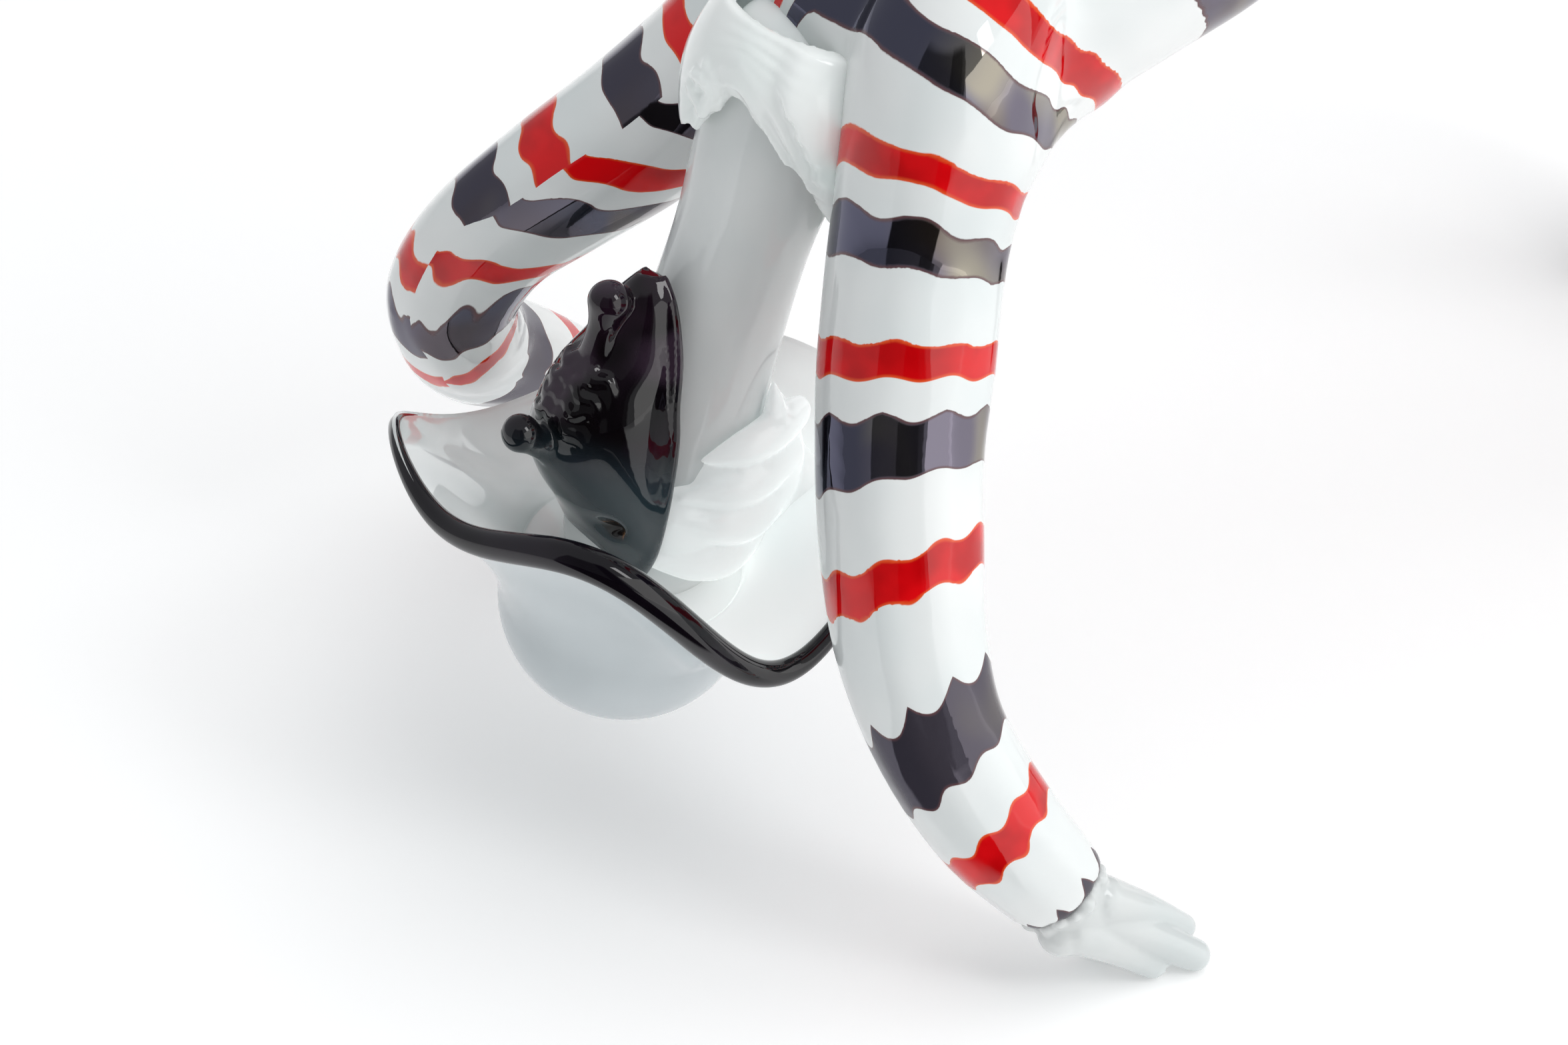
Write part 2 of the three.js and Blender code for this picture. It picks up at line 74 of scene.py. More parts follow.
FLOOR_GAP = 0.05 * MM
JOINT_GAP = 0.3 * MM

# The faint ribs round a limb, from the mould that the glass rod was drawn in.
RIBS = 9
RIB_DEPTH = 0.09 * MM
RIB_START = math.radians(16)

# The pose was drawn at this height, round the middle of the hands. The shift puts it over the part's origin.
DRAWN_HEIGHT = 142
POSE_SCALE = FIGURE_HEIGHT / DRAWN_HEIGHT
POSE_SHIFT = np.array([-55.878, 0.231, 0]) * MM


def direction(azimuth, elevation=0):
    """Which way these angles in degrees point."""
    a, e = math.radians(azimuth), math.radians(elevation)
    return np.array([math.cos(a) * math.cos(e), math.sin(a) * math.cos(e), math.sin(e)])


# The picture: which way its right-hand side points, and how far down the camera looks, in degrees.
PICTURE_TURN = -28
PICTURE_DIP = 38
PICTURE_RIGHT = direction(PICTURE_TURN)
PICTURE_AHEAD = direction(PICTURE_TURN + 90)
TOWARDS_VIEW = direction(PICTURE_TURN - 90, PICTURE_DIP)


# Shapes

def unit(v):
    v = np.asarray(v, float)
    return v / np.linalg.norm(v)


def mix(a, b, share):
    return a + (b - a) * share


def smoothstep(low, high, value):
    share = np.clip((value - low) / (high - low), 0, 1)
    return share * share * (3 - 2 * share)


def spline(points, t):
    """A centripetal Catmull-Rom curve through the points, at a share t of the way."""
    points = np.asarray(points, float)
    at = t * (len(points) - 1)
    i = min(int(at), len(points) - 2)
    share = at - i
    p1, p2 = points[i], points[i + 1]
    p0 = points[i - 1] if i > 0 else 2 * p1 - p2
    p3 = points[i + 2] if i + 2 < len(points) else 2 * p2 - p1
    gaps = [max(np.linalg.norm(b - a) ** 0.5, 1e-5) for a, b in ((p0, p1), (p1, p2), (p2, p3))]
    out = (p1 - p0) / gaps[0] - (p2 - p0) / (gaps[0] + gaps[1]) + (p2 - p1) / gaps[1]
    into = (p2 - p1) / gaps[1] - (p3 - p1) / (gaps[1] + gaps[2]) + (p3 - p2) / gaps[2]
    out *= gaps[1]
    into *= gaps[1]
    square, cube = share * share, share ** 3
    return p1 + out * share + (3 * (p2 - p1) - 2 * out - into) * square + (2 * (p1 - p2) + out + into) * cube


def tangent(points, t):
    return unit(spline(points, min(t + 1e-4, 1)) - spline(points, max(t - 1e-4, 0)))


def skin(rings, first, last):
    """Closed skin over rings of points, with a fan from each end ring to a middle point."""
    sides = len(rings[0])
    verts = [p for ring in rings for p in ring] + [first, last]
    faces = []
    top = len(rings) * sides
    for i in range(sides):
        j = (i + 1) % sides
        faces.append((top, j, i))
        for r in range(len(rings) - 1):
            faces.append((r * sides + i, r * sides + j, (r + 1) * sides + j, (r + 1) * sides + i))
        base = (len(rings) - 1) * sides
        faces.append((top + 1, base + i, base + j))
    return np.array(verts), faces


def around(count):
    """This many angles, evenly round a circle."""
    return np.arange(count) * 2 * math.pi / count


DOME_RINGS = 7


def rod(stops, sides=36, steps=60, side=(0, 1, 0), domed=(True, True)):
    """A tapering rod through stops of (point, wide, deep), or of (point, radius)."""
    path = [s[0] for s in stops]
    sizes = [(s[1], s[-1]) for s in stops]
    angles = around(sides)
    across = np.asarray(side, float)

    def ring(t, forward, share):
        nonlocal across
        along = tangent(path, t)
        across = unit(across - along * (across @ along))
        up = np.cross(along, across)
        wide, deep = spline(sizes, t)
        centre = spline(path, t) + along * forward * min(wide, deep)
        x = np.cos(angles) * wide * share
        y = np.sin(angles) * deep * share
        return centre + np.outer(x, across) + np.outer(y, up)

    def dome(t, outward):
        turns = [(math.pi / 2) * (i + 1) / (DOME_RINGS + 1) for i in range(DOME_RINGS)]
        return [ring(t, outward * math.sin(a), math.cos(a)) for a in turns]

    def tip(t, outward, is_domed):
        reach = min(spline(sizes, t)) if is_domed else 0
        return spline(path, t) + tangent(path, t) * outward * reach

    rings = dome(0, -1)[::-1] if domed[0] else []
    rings += [ring(i / steps, 0, 1) for i in range(steps + 1)]
    rings += dome(1, 1) if domed[1] else []
    return skin(rings, tip(0, -1, domed[0]), tip(1, 1, domed[1]))


def circle(sides, radius, height):
    angles = around(sides)
    return np.stack([np.cos(angles) * radius, np.sin(angles) * radius, np.full(sides, height)], 1)


def ball(centre, radii, sides=32):
    """A ball, or with three radii an egg."""
    radii = np.broadcast_to(np.asarray(radii, float), (3,))
    dips = [math.pi * i / (sides // 2) for i in range(1, sides // 2)]
    rings = [centre + circle(sides, math.sin(dip), -math.cos(dip)) * radii for dip in dips]
    low, high = centre - radii * (0, 0, 1), centre + radii * (0, 0, 1)
    return skin(rings, low, high)


def put_in_scene(name, data):
    thing = bpy.data.objects.new(name, data)
    bpy.context.scene.collection.objects.link(thing)
    return thing


def smooth_piece(name, mesh):
    mesh.polygons.foreach_set("use_smooth", [True] * len(mesh.polygons))
    return put_in_scene(name, mesh)


def mesh_piece(name, verts, faces):
    mesh = bpy.data.meshes.new(name)
    mesh.from_pydata((verts + POSE_SHIFT).tolist(), [], [tuple(int(i) for i in f) for f in faces])
    mesh.validate()
    return smooth_piece(name, mesh)


def points_of(piece):
    """The piece's points, in the pose's own coordinates."""
    points = np.empty(len(piece.data.vertices) * 3)
    piece.data.vertices.foreach_get("co", points)
    return points.reshape(-1, 3) - POSE_SHIFT


def set_points(piece, points):
    piece.data.vertices.foreach_set("co", (points + POSE_SHIFT).ravel())
    piece.data.update()


def melt(piece, rounds, factor=0.5):
    """Smooths a surface and lets it shrink a little. The factor may differ from point to point."""
    points = points_of(piece)
    edges = np.empty(len(piece.data.edges) * 2, int)
    piece.data.edges.foreach_get("vertices", edges)
    a, b = edges.reshape(-1, 2).T
    ends, others = np.concatenate([a, b]), np.concatenate([b, a])
    count = np.bincount(ends, minlength=len(points))[:, None]
    for _ in range(rounds):
        total = np.stack([np.bincount(ends, points[others, k], minlength=len(points)) for k in range(3)], 1)
        points = points + (total / count - points) * factor
    set_points(piece, points)


def fused(name, parts, voxel, rounds):
    """Overlapping closed shapes as one skin, smoothed where they meet."""
    verts, faces, offset = [], [], 0
    for part_verts, part_faces in parts:
        verts.append(part_verts)
        faces += [tuple(i + offset for i in f) for f in part_faces]
        offset += len(part_verts)
    rough = mesh_piece(name + "_rough", np.concatenate(verts), faces)
    remesh = rough.modifiers.new("skin", "REMESH")
    remesh.mode = "VOXEL"
    remesh.voxel_size = voxel
    seen = rough.evaluated_get(bpy.context.evaluated_depsgraph_get())
    mesh = bpy.data.meshes.new_from_object(seen)
    mesh.name = name
    bpy.data.objects.remove(rough)
    piece = smooth_piece(name, mesh)
    melt(piece, rounds)
    return piece


def flatten_on_floor(piece):
    points = points_of(piece)
    points[:, 2] = np.maximum(points[:, 2], FLOOR_GAP)
    set_points(piece, points)


def add_values(piece, name, *columns):
    """Up to three numbers for each point of the piece, for its material."""
    values = np.zeros((len(piece.data.vertices), 3), np.float32)
    values[:, :len(columns)] = np.stack(columns, 1)
    layer = piece.data.attributes.new(name, "FLOAT_VECTOR", "POINT")
    layer.data.foreach_set("vector", values.ravel())


def finish_piece(piece, node, material):
    piece.data.materials.clear()
    piece.data.materials.append(material)
    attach(piece, "root")
    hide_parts(node)


# The limbs and the body

def posed(x, y, z):
    return np.array([x, y, z]) * POSE_SCALE


def spread(x, y, z, width):
    """A place whose distance aside is a share of half the width."""
    return np.array([x * POSE_SCALE, y * width / 2, z * POSE_SCALE])


def limb(width, radii, stops):
    """Each stop is its place, aside as a share of half the width, and how far the limb has tapered there."""
    return [(spread(x, y, z, width), mix(*radii, taper)) for x, y, z, taper in stops]


ARM_RADII = (UPPER_ARM_RADIUS, WRIST_RADIUS)
LEG_RADII = (THIGH_RADIUS, ANKLE_RADIUS)
NEAR_ARM = limb(HAND_SPREAD, ARM_RADII, (
    (4, -0.16, 113, -0.2), (-5, -0.27, 110, -0.15), (-9, -0.32, 99, -0.1), (-12, -0.35, 89, 0.05),
    (-16, -0.42, 77, 0.05), (-19.5, -0.49, 67.5, 0.18), (-22, -0.565, 58, 0.23), (-23.8, -0.65, 47, 0.38),
    (-23.4, -0.74, 37, 0.6), (-18.5, -0.825, 24.8, 0.68), (-11, -0.9, 13.4, 1),
))
FAR_ARM = limb(HAND_SPREAD, ARM_RADII, (
    (4, 0.13, 111, -0.1), (-7, 0.21, 104, 0.1), (-17, 0.315, 89.5, 0.15), (-25, 0.39, 80, 0.2),
    (-33.5, 0.47, 71.5, 0.35), (-41.4, 0.55, 62.5, 0.52), (-45.5, 0.6, 53.5, 0.52), (-44, 0.65, 45, 0.58),
    (-39.6, 0.72, 37, 0.65), (-31, 0.78, 29.6, 0.8), (-20, 0.875, 18.3, 0.95), (-15, 0.915, 13.4, 1),
))
TORSO = [(posed(x, 0, z), wide * TORSO_HALF_WIDTH, deep * TORSO_HALF_DEPTH) for x, z, wide, deep in (
    (-4, 107.5, 0.86, 0.82), (11, 108, 1, 0.98), (32, 114.5, 1, 1),
    (58, 122, 0.86, 0.86), (84, 125.7, 0.92, 0.9), (106, 121, 1, 0.92),
)]
# The glass that fills the corner between the near arm and the body, and how far it is smoothed.
ARMPIT = [(posed(*place), radius * MM) for place, radius in (
    ((-2, -24.5, 101), 7), ((6, -19, 101.6), 6.6), ((15.2, -13, 100.6), 7),
)]
ARMPIT_CORE = 8 * MM
ARMPIT_REACH = 15 * MM


def leg(sign):
    return limb(FOOT_SPREAD, LEG_RADII, (
        (100, sign * 0.32, 122, 0), (126, sign * 0.45, 114, 0), (146, sign * 0.65, 98, 0.25),
        (157, sign * 0.8, 76, 0.4), (159, sign * 0.9, 52, 0.62), (155, sign * 0.97, 29, 0.85),
        (149, sign, 13, 1),
    ))


# The stripes follow two lines, each from a wrist up the arm, along the body and down a leg.
BODY_LINE = [(34, 124.5), (54, 131), (76, 133), (98, 130), (116, 123)]
LEG_LINE = [(134, 0.52, 109), (149, 0.68, 94), (157, 0.8, 76), (159, 0.9, 52), (155, 0.97, 29), (149, 1, 13)]
NEAR_LINE = [(-11, -62, 13.4), (-18.5, -57, 24.8), (-23.4, -51, 37), (-23.8, -44.8, 47), (-22, -39, 58),
             (-19, -33.5, 67.5), (-13.5, -28.5, 79), (-7, -24, 90.5), (3, -19, 102.5), (17, -13, 114.5)]
FAR_LINE = [(-15, 63.1, 13.4), (-20, 60.4, 18.3), (-31, 53.8, 29.6), (-39.6, 49.7, 37), (-44, 44.8, 45),
            (-45.5, 41.4, 53.5), (-41.4, 38, 62.5), (-33.5, 32.4, 71.5), (-25, 27, 80), (-17, 21.7, 89.5),
            (-9, 17, 98.5), (0, 12.5, 105.5), (14, 8, 112)]

# Where each stripe starts and ends along its line, in mm from the wrist, by turns dark and red.
NEAR_STRIPES = [(-2, 1.2), (12, 16.7), (24.3, 33.8), (47.5, 52.3), (61.4, 69.5), (73.9, 78.2),
                (86.7, 91.6), (94.9, 98.2), (103.9, 109.3), (112.8, 117.2), (128.8, 139.5)]
FAR_STRIPES = [(-2, 1.2), (15, 19.5), (27, 35), (45.2, 48), (51.5, 56.1), (58.6, 62.1),
               (69.8, 77.6), (82, 88), (97.8, 105.5), (109.5, 114), (126, 137)]
# On the body a red and a dark stripe come again every 25 mm.
BODY_PAIRS = [139.5 + 25 * i for i in range(10)]
BODY_STRIPES = [(pair + start, pair + end) for pair in BODY_PAIRS for start, end in ((9, 13), (20, 27))]
# How far the stripes lean to the right of the picture, by their place along the near arm.
LEAN_AT = (0, 12, 29, 50, 63, 77, 90, 98, 104, 130)
LEAN = (0, -0.33, -0.33, -0.27, -0.25, -0.2, -0.05, -0.08, -0.05, 0)
# How far they arch up the body on both sides of the arm's front.
ARCH_AT = (92, 98, 106, 118, 131)
ARCH = (0, 0.06, 0.24, 0.24, 0)
ARCH_EASE = 3 * MM
# How deep the scallops of the stripes are, in mm, by their place along the arm.
WAVE_AT = (0, 20, 34, 52, 70, 92, 110, 120)
WAVE = (2.3, 2.1, 2.4, 1.7, 1.35, 1.0, 0.85, 0.55)
FAR_WAVE = (2.0, 1.9, 1.6, 1.5, 1.4, 1.4, 1.3, 0.5)
# The seam on the far arm: how far the stripes drop at it in mm, where it faces in degrees, low and high on
# the arm, and how steeply they drop to the right of it, in mm a degree.
SEAM_DROP = 3.5
SEAM_FACES = (-19, -2)
SEAM_SLOPES = (0.05, 0.16)
SEAM_LEFT, SEAM_RIGHT = -95, 95
NO_SEAM = -9
LINE_POINTS = 900
CHUNK = 4000  # points at a time
SIDES_MEET = 6 * MM  # the two lines' stripes mix this far from the middle


def stripe_line(arm_line, sign):
    points = [posed(*p) for p in arm_line]
    points += [posed(x, 0, z) for x, z in BODY_LINE]
    points += [spread(x, sign * y, z, FOOT_SPREAD) for x, y, z in LEG_LINE]
    return np.array([spline(points, t) for t in np.linspace(0, 1, LINE_POINTS)])


def place_on_line(points, line):
    """For each point: how far along the line it is, and which way round it."""
    steps = np.linalg.norm(np.diff(line, axis=0), axis=1)
    lengths = np.concatenate([[0], np.cumsum(steps)])
    nearest = np.empty(len(points), int)
    for start in range(0, len(points), CHUNK):
        part = points[start:start + CHUNK]
        gaps = ((part ** 2).sum(1)[:, None] - 2 * part @ line.T + (line ** 2).sum(1)[None])
        nearest[start:start + CHUNK] = gaps.argmin(1)
    before, after = np.maximum(nearest - 1, 0), np.minimum(nearest + 1, len(line) - 1)
    along = line[after] - line[before]
    along /= np.linalg.norm(along, axis=1)[:, None]
    away = points - line[nearest]
    ahead = (away * along).sum(1)
    away -= along * ahead[:, None]
    right = np.cross(along, TOWARDS_VIEW)
    right /= np.linalg.norm(right, axis=1)[:, None]
    right *= np.sign(right @ PICTURE_RIGHT)[:, None]
    facing = np.cross(right, along)
    facing *= np.sign(facing @ TOWARDS_VIEW)[:, None]
    turn = np.arctan2((away * right).sum(1), (away * facing).sum(1))
    return lengths[nearest] + ahead, turn, away


def seam_offsets(distance, turn):
    """How far the far arm's stripes drop on the right of a seam that faces the picture, and where it is."""
    degrees = np.degrees(turn)
    jump = SEAM_DROP * smoothstep(56.5, 66, distance) * (1 - smoothstep(97, 106, distance))
    seam = mix(*SEAM_FACES, smoothstep(66, 76, distance))
    slope = mix(*SEAM_SLOPES, smoothstep(54, 86, distance)) * (1 - smoothstep(100, 122, distance))
    front = jump * smoothstep(-92, -60, degrees) + slope * np.maximum(degrees - seam, 0)
    highest = jump + slope * (SEAM_RIGHT - seam)
    past_right = np.where(degrees < 0, degrees + 360, degrees) - SEAM_RIGHT
    back = highest * (1 - np.clip(past_right / (360 + SEAM_LEFT - SEAM_RIGHT), 0, 1))
    is_back = (degrees >= SEAM_RIGHT) | (degrees < SEAM_LEFT)
    return np.where(is_back, back, front), np.radians(seam)


def stripe_number(distance, arm_stripes):
    """Whole in the middle of a stripe and a quarter off at its edges, and how fast the number rises."""
    stripes = arm_stripes + BODY_STRIPES
    edges = [e for pair in stripes for e in pair]
    numbers = [k + quarter for k in range(len(stripes)) for quarter in (-0.25, 0.25)]
    number = np.interp(distance, edges, numbers)
    reach = 2.5
    before, after = [np.interp(distance + off, edges, numbers) for off in (-reach, reach)]
    return number, np.maximum(after - before, 0.05) / (2 * reach)


def stripe_values(points):
    """For each point: its stripe, the stripe left of the seam and the seam, and which way round it is."""
    near, near_turn, near_away = place_on_line(points, stripe_line(NEAR_LINE, -1))
    far, far_turn, _ = place_on_line(points, stripe_line(FAR_LINE, 1))
    near, far = near / MM, far / MM
    aside = near_away @ PICTURE_RIGHT
    arch = np.sqrt(aside ** 2 + ARCH_EASE ** 2) - ARCH_EASE
    near = near + (np.interp(near, LEAN_AT, LEAN) * aside - np.interp(near, ARCH_AT, ARCH) * arch) / MM
    offset, seam = seam_offsets(far, far_turn)
    near_number, near_fine = stripe_number(near, NEAR_STRIPES)
    far_number, far_fine = stripe_number(far - offset, FAR_STRIPES)
    left_number, _ = stripe_number(far, FAR_STRIPES)
    share = smoothstep(-1, 1, points[:, 1] / SIDES_MEET)
    turn = np.where(share > 0.5, far_turn, near_turn)
    wave = mix(np.interp(near, WAVE_AT, WAVE), np.interp(far, WAVE_AT, FAR_WAVE), share)
    stripe = mix(near_number, far_number, share), mix(near_fine, far_fine, share), wave
    other = mix(near_number, left_number, share), np.where(share > 0.5, seam, NO_SEAM)
    return stripe, other, turn


def bulge_ribs(suit, turn):
    """Raises the faint lengthwise ribs on the arms. turn says which way round its limb each point is."""
    points = points_of(suit)
    normals = np.empty(len(points) * 3, np.float32)
    suit.data.vertices.foreach_get("normal", normals)
    on_arm = 1 - smoothstep(0, 12 * MM, points[:, 0])
    height = RIB_DEPTH * (np.cos(RIBS * (turn + RIB_START)) - 1) * on_arm
    set_points(suit, points + normals.reshape(-1, 3) * height[:, None])


def make_suit():
    limbs = (NEAR_ARM, FAR_ARM, leg(-1), leg(1))
    parts = [rod(TORSO, sides=72, steps=80)]
    parts += [rod(stops, sides=44, steps=120, domed=(True, False)) for stops in limbs]
    parts.append(rod(ARMPIT, sides=32, steps=30))
    suit = fused("suit", parts, voxel=0.85 * MM, rounds=14)
    gap = np.linalg.norm(points_of(suit) - ARMPIT[1][0], axis=1)
    melt(suit, rounds=70, factor=0.5 * (1 - smoothstep(ARMPIT_CORE, ARMPIT_REACH, gap))[:, None])
    stripe, other, turn = stripe_values(points_of(suit))
    add_values(suit, "stripe", *stripe)
    add_values(suit, "other_side", *other)
    add_values(suit, "turn", np.cos(turn), np.sin(turn))
    bulge_ribs(suit, turn)
    return suit


# Hands and shoes

def limb_end(stops):
    end, before = stops[-1][0], stops[-2][0]
    return end + unit(end - before) * JOINT_GAP


# The palm: how far out it reaches in hand widths, and its radius in wrist radii.
PALM = ((0, 0.84), (0.42, 0.68), (0.84, 0.46))
# Each finger: its tip's place on the floor from the middle of the hand, ahead and aside, as shares of the
# hand's length and width. Then its height and thickness in finger radii, and its start on the wrist, in mm.
FINGERS = (
    (0.22, 0.53, 2.0, 0.95, (3.6, 0, 3.4)),
    (0.31, 0.16, 1.1, 1.2, (0.7, 1, 4.3)),
    (-0.08, 0.01, 1.1, 1.16, (-0.6, 3, 3.6)),
    (-0.51, 0.36, 1.1, 1.1, (-2, 3.5, 2.7)),
)
FINGER_ROOT = 1.75 * FINGER_RADIUS
# The uneven ring of melted glass where the hand was joined to the wrist.
CRUMBS = 17
CRUMB_RING = 0.78 * WRIST_RADIUS
CRUMB_WAVE = 0.35 * MM


def finger(root, tip, thick):
    size = FINGER_RADIUS * thick
    middle = mix(root, tip, 0.55) + np.array([0, 0, FINGER_RADIUS * 0.2])
    return rod([(root, FINGER_ROOT), (middle, mix(size, FINGER_ROOT, 0.45)), (tip, size)], sides=28, steps=30)


def make_hand(name, arm, sign):
    start = limb_end(arm)
    reach = unit([0.88, sign * 0.47, 0])
    aside = -sign * np.array([-reach[1], reach[0], 0])
    heading = unit(arm[-1][0] - arm[-2][0])
    across = -sign * unit(np.cross(heading, (0, 0, 1)))
    up = -sign * np.cross(across, heading)
    foot = np.array([0, sign * HAND_SPREAD / 2, 0])
    palm = [(start + heading * HAND_WIDTH * out, WRIST_RADIUS * wide) for out, wide in PALM]
    parts = [rod(palm, domed=(False, True), steps=24)]
    for ahead, beside, high, thick, (rise, shift, down) in FINGERS:
        root = start + (up * rise + across * shift + heading * down) * MM
        tip = foot + reach * HAND_LENGTH * ahead + aside * HAND_WIDTH * beside
        tip[2] = FINGER_RADIUS * high
        parts.append(finger(root, tip, thick))
    for i, angle in enumerate(around(CRUMBS)):
        crumb = start + (across * math.cos(angle) + up * math.sin(angle)) * CRUMB_RING
        crumb = crumb + heading * CRUMB_WAVE * math.sin(5 * angle + sign)
        parts.append(ball(crumb, (1.05 + 0.3 * math.sin(3.7 * i)) * MM, 14))
    hand = fused(name, parts, voxel=0.3 * MM, rounds=4)
    flatten_on_floor(hand)
    return hand


# The upper: how far up from the heel, and its radius in ankle radii.
UPPER = ((1, 0.94), (0.35, 0.92), (0, 0.85))
# The sole: how far along it, then its height, width and depth in shoe radii.
SOLE = ((0, 0.72, 0.88, 0.9), (0.35, 0.66, 1, 0.82), (0.7, 0.5, 0.86, 0.62), (1, 0.42, 0.42, 0.42))


def make_shoe(name, sign):
    start = limb_end(leg(sign))
    reach = unit([0.94, sign * 0.34, 0])
    side = np.array([-reach[1], reach[0], 0])
    heel = np.array([start[0] - ANKLE_RADIUS * 0.25, start[1], SHOE_RADIUS * 0.72])

    def along(share, height):
        point = heel + reach * share * SHOE_LENGTH
        point[2] = SHOE_RADIUS * height
        return point

    upper = [(mix(heel, start, share), ANKLE_RADIUS * wide) for share, wide in UPPER]
    sole = [(along(share, high), SHOE_RADIUS * wide, SHOE_RADIUS * deep) for share, high, wide, deep in SOLE]
    parts = [rod(upper, side=side, domed=(False, True), steps=20), rod(sole, side=side, steps=40)]
    shoe = fused(name, parts, voxel=0.5 * MM, rounds=8)
    flatten_on_floor(shoe)
    return shoe


# The hat

CROWN_CENTRE = posed(-41, 0, 29)
HAT_AXIS = unit([0.093, -0.14, 0.985])
# How the brim's height and reach wave round it: waves a turn, their share of the mean, and where a crest is.
RISE_WAVES = ((1, 0.35, 249), (2, 0.465, 13), (3, 0.12, 1), (4, 0.205, 54.5))
REACH_WAVES = ((1, 0.098, 56), (3, 0.024, 2))
BRIM_FLARE = 1.7
THICK_RIM_ANGLE = math.radians(235)
RIM_INSET = 0.35 * MM
RIM_RINGS = 240
RIM_SIDES = 20
BOWL_FILL = 6 * MM  # how high the inside rises to meet the hair
HAT_SIDES = 144
BOWL_RINGS = 20
BRIM_RINGS = 30
# A painted glow brightens the inside of the side that faces the window, rising between these distances.
WINDOW_SIDE = unit([0.54, -0.84, 0])
BRIGHT_FROM, BRIGHT_TO = -4 * MM, 18 * MM


def waved(mean, waves, angle):
    return mean + sum(mean * height * np.cos(n * (angle - math.radians(crest))) for n, height, crest in waves)


def brim_point(angle, share, inward=0, upward=0):
    radius = mix(CROWN_RADIUS, waved(BRIM_REACH, REACH_WAVES, angle), share ** BRIM_FLARE) - inward
    rise = waved(BRIM_RISE, RISE_WAVES, angle) * share + upward
    return np.array([math.cos(angle) * radius, math.sin(angle) * radius, rise])


def place_hat(verts):
    turn = np.array(Vector((0, 0, 1)).rotation_difference(Vector(HAT_AXIS)).to_matrix())
    return verts @ turn.T + CROWN_CENTRE


def bowl_rings(depth, fill=None):
    """The outside of the bowl and its brim, or with a fill the inside, which is flat in the middle."""
    radius = CROWN_RADIUS - depth
    rings = []
    for i in range(1, BOWL_RINGS + 1):
        dip = (math.pi / 2) * (1 - i / BOWL_RINGS)
        height = -radius * math.sin(dip) if fill is None else fill
        rings.append(circle(HAT_SIDES, radius * math.cos(dip), height))
    for i in range(1, BRIM_RINGS + 1):
        share = i / BRIM_RINGS
        lift = depth * share + (fill or 0) * (1 - smoothstep(0, 0.8, share))
        rings.append(np.array([brim_point(a, share, depth * (1 - share), lift) for a in around(HAT_SIDES)]))
    return rings


def make_hat():
    outer, inner = bowl_rings(0), bowl_rings(HAT_WALL, BOWL_FILL)
    crown_tip, middle = np.array([0, 0, -CROWN_RADIUS]), np.array([0, 0, BOWL_FILL])
    verts, faces = skin(outer + inner[::-1], crown_tip, middle)
    hat = mesh_piece("hat_bowl", place_hat(verts), [f[::-1] for f in faces])
    inside = np.zeros(len(verts))
    inside[len(outer) * HAT_SIDES:] = 1
    inside[-2] = 0  # the crown's tip, which comes before the middle
    # The inside's painted glow, strongest towards the window.
    towards_window = (points_of(hat) - CROWN_CENTRE) @ WINDOW_SIDE
    bright = inside * smoothstep(BRIGHT_FROM, BRIGHT_TO, towards_window)
    add_values(hat, "inner", inside, bright)
    return hat


def loop(rings):
    """Skin over rings of points, the last of which joins the first."""
    sides, count = len(rings[0]), len(rings)
    faces = [(r * sides + i, r * sides + (i + 1) % sides, (r + 1) % count * sides + (i + 1) % sides,
              (r + 1) % count * sides + i) for r in range(count) for i in range(sides)]
    return np.concatenate(rings), faces


def make_rim():
    def centre(angle):
        return brim_point(angle, 1, RIM_INSET, HAT_WALL / 2)

    rings = []
    turns = around(RIM_SIDES)
    for angle in around(RIM_RINGS):
        along = unit(centre(angle + 0.01) - centre(angle - 0.01))
        out = np.array([math.cos(angle), math.sin(angle), 0])
        out = unit(out - along * (out @ along))
        up = np.cross(along, out)
        thickness = max(0, math.cos(angle - THICK_RIM_ANGLE)) ** 1.3
        radius = mix(THIN_RIM_RADIUS, RIM_RADIUS, thickness)
        rings.append(centre(angle) + (np.outer(np.cos(turns), out) + np.outer(np.sin(turns), up)) * radius)
    verts, faces = loop(rings)
    return mesh_piece("brim_thread", place_hat(verts), faces)


# The head

NECK_BASE = posed(-17.2, 0, 97.9)
HEAD_DOWN = unit([-0.33, 0, -0.944])
FACE_TURN = 10
FORWARD = -direction(FACE_TURN)
FORWARD = unit(FORWARD - HEAD_DOWN * (FORWARD @ HEAD_DOWN))
FACE_SIDE = np.cross(FORWARD, HEAD_DOWN)
HAT_CLEARANCE = 0.6 * MM
SKULL_RADIUS = 0.74 * (CROWN_RADIUS - HAT_WALL - HAT_CLEARANCE)
SKULL_BACK = 3 * MM
# Down the neck: how far in mm, then its width and depth as shares of the neck's radius.
NECK_STOPS = (
    (-12.5, 0.4, 0.4), (-11.8, 0.74, 0.74), (-9.5, 1, 1), (-5, 1.1, 1.1), (6, 1.1, 1.1),
    (20, 1, 1), (36, 1.02, 1.1), (50, 1.12, 1.24), (62, 1.2, 1.3),
)


def head_point(down, forward=0.0, side=0.0):
    return NECK_BASE + HEAD_DOWN * down * POSE_SCALE + FORWARD * forward + FACE_SIDE * side


def make_head():
    stops = [(head_point(down), wide * NECK_RADIUS, deep * NECK_RADIUS) for down, wide, deep in NECK_STOPS]
    neck = rod(stops, sides=48, steps=70, side=FACE_SIDE)
    skull = ball(CROWN_CENTRE + PICTURE_AHEAD * SKULL_BACK, SKULL_RADIUS, 48)
    return fused("neck_and_head", [neck, skull], voxel=0.8 * MM, rounds=12)


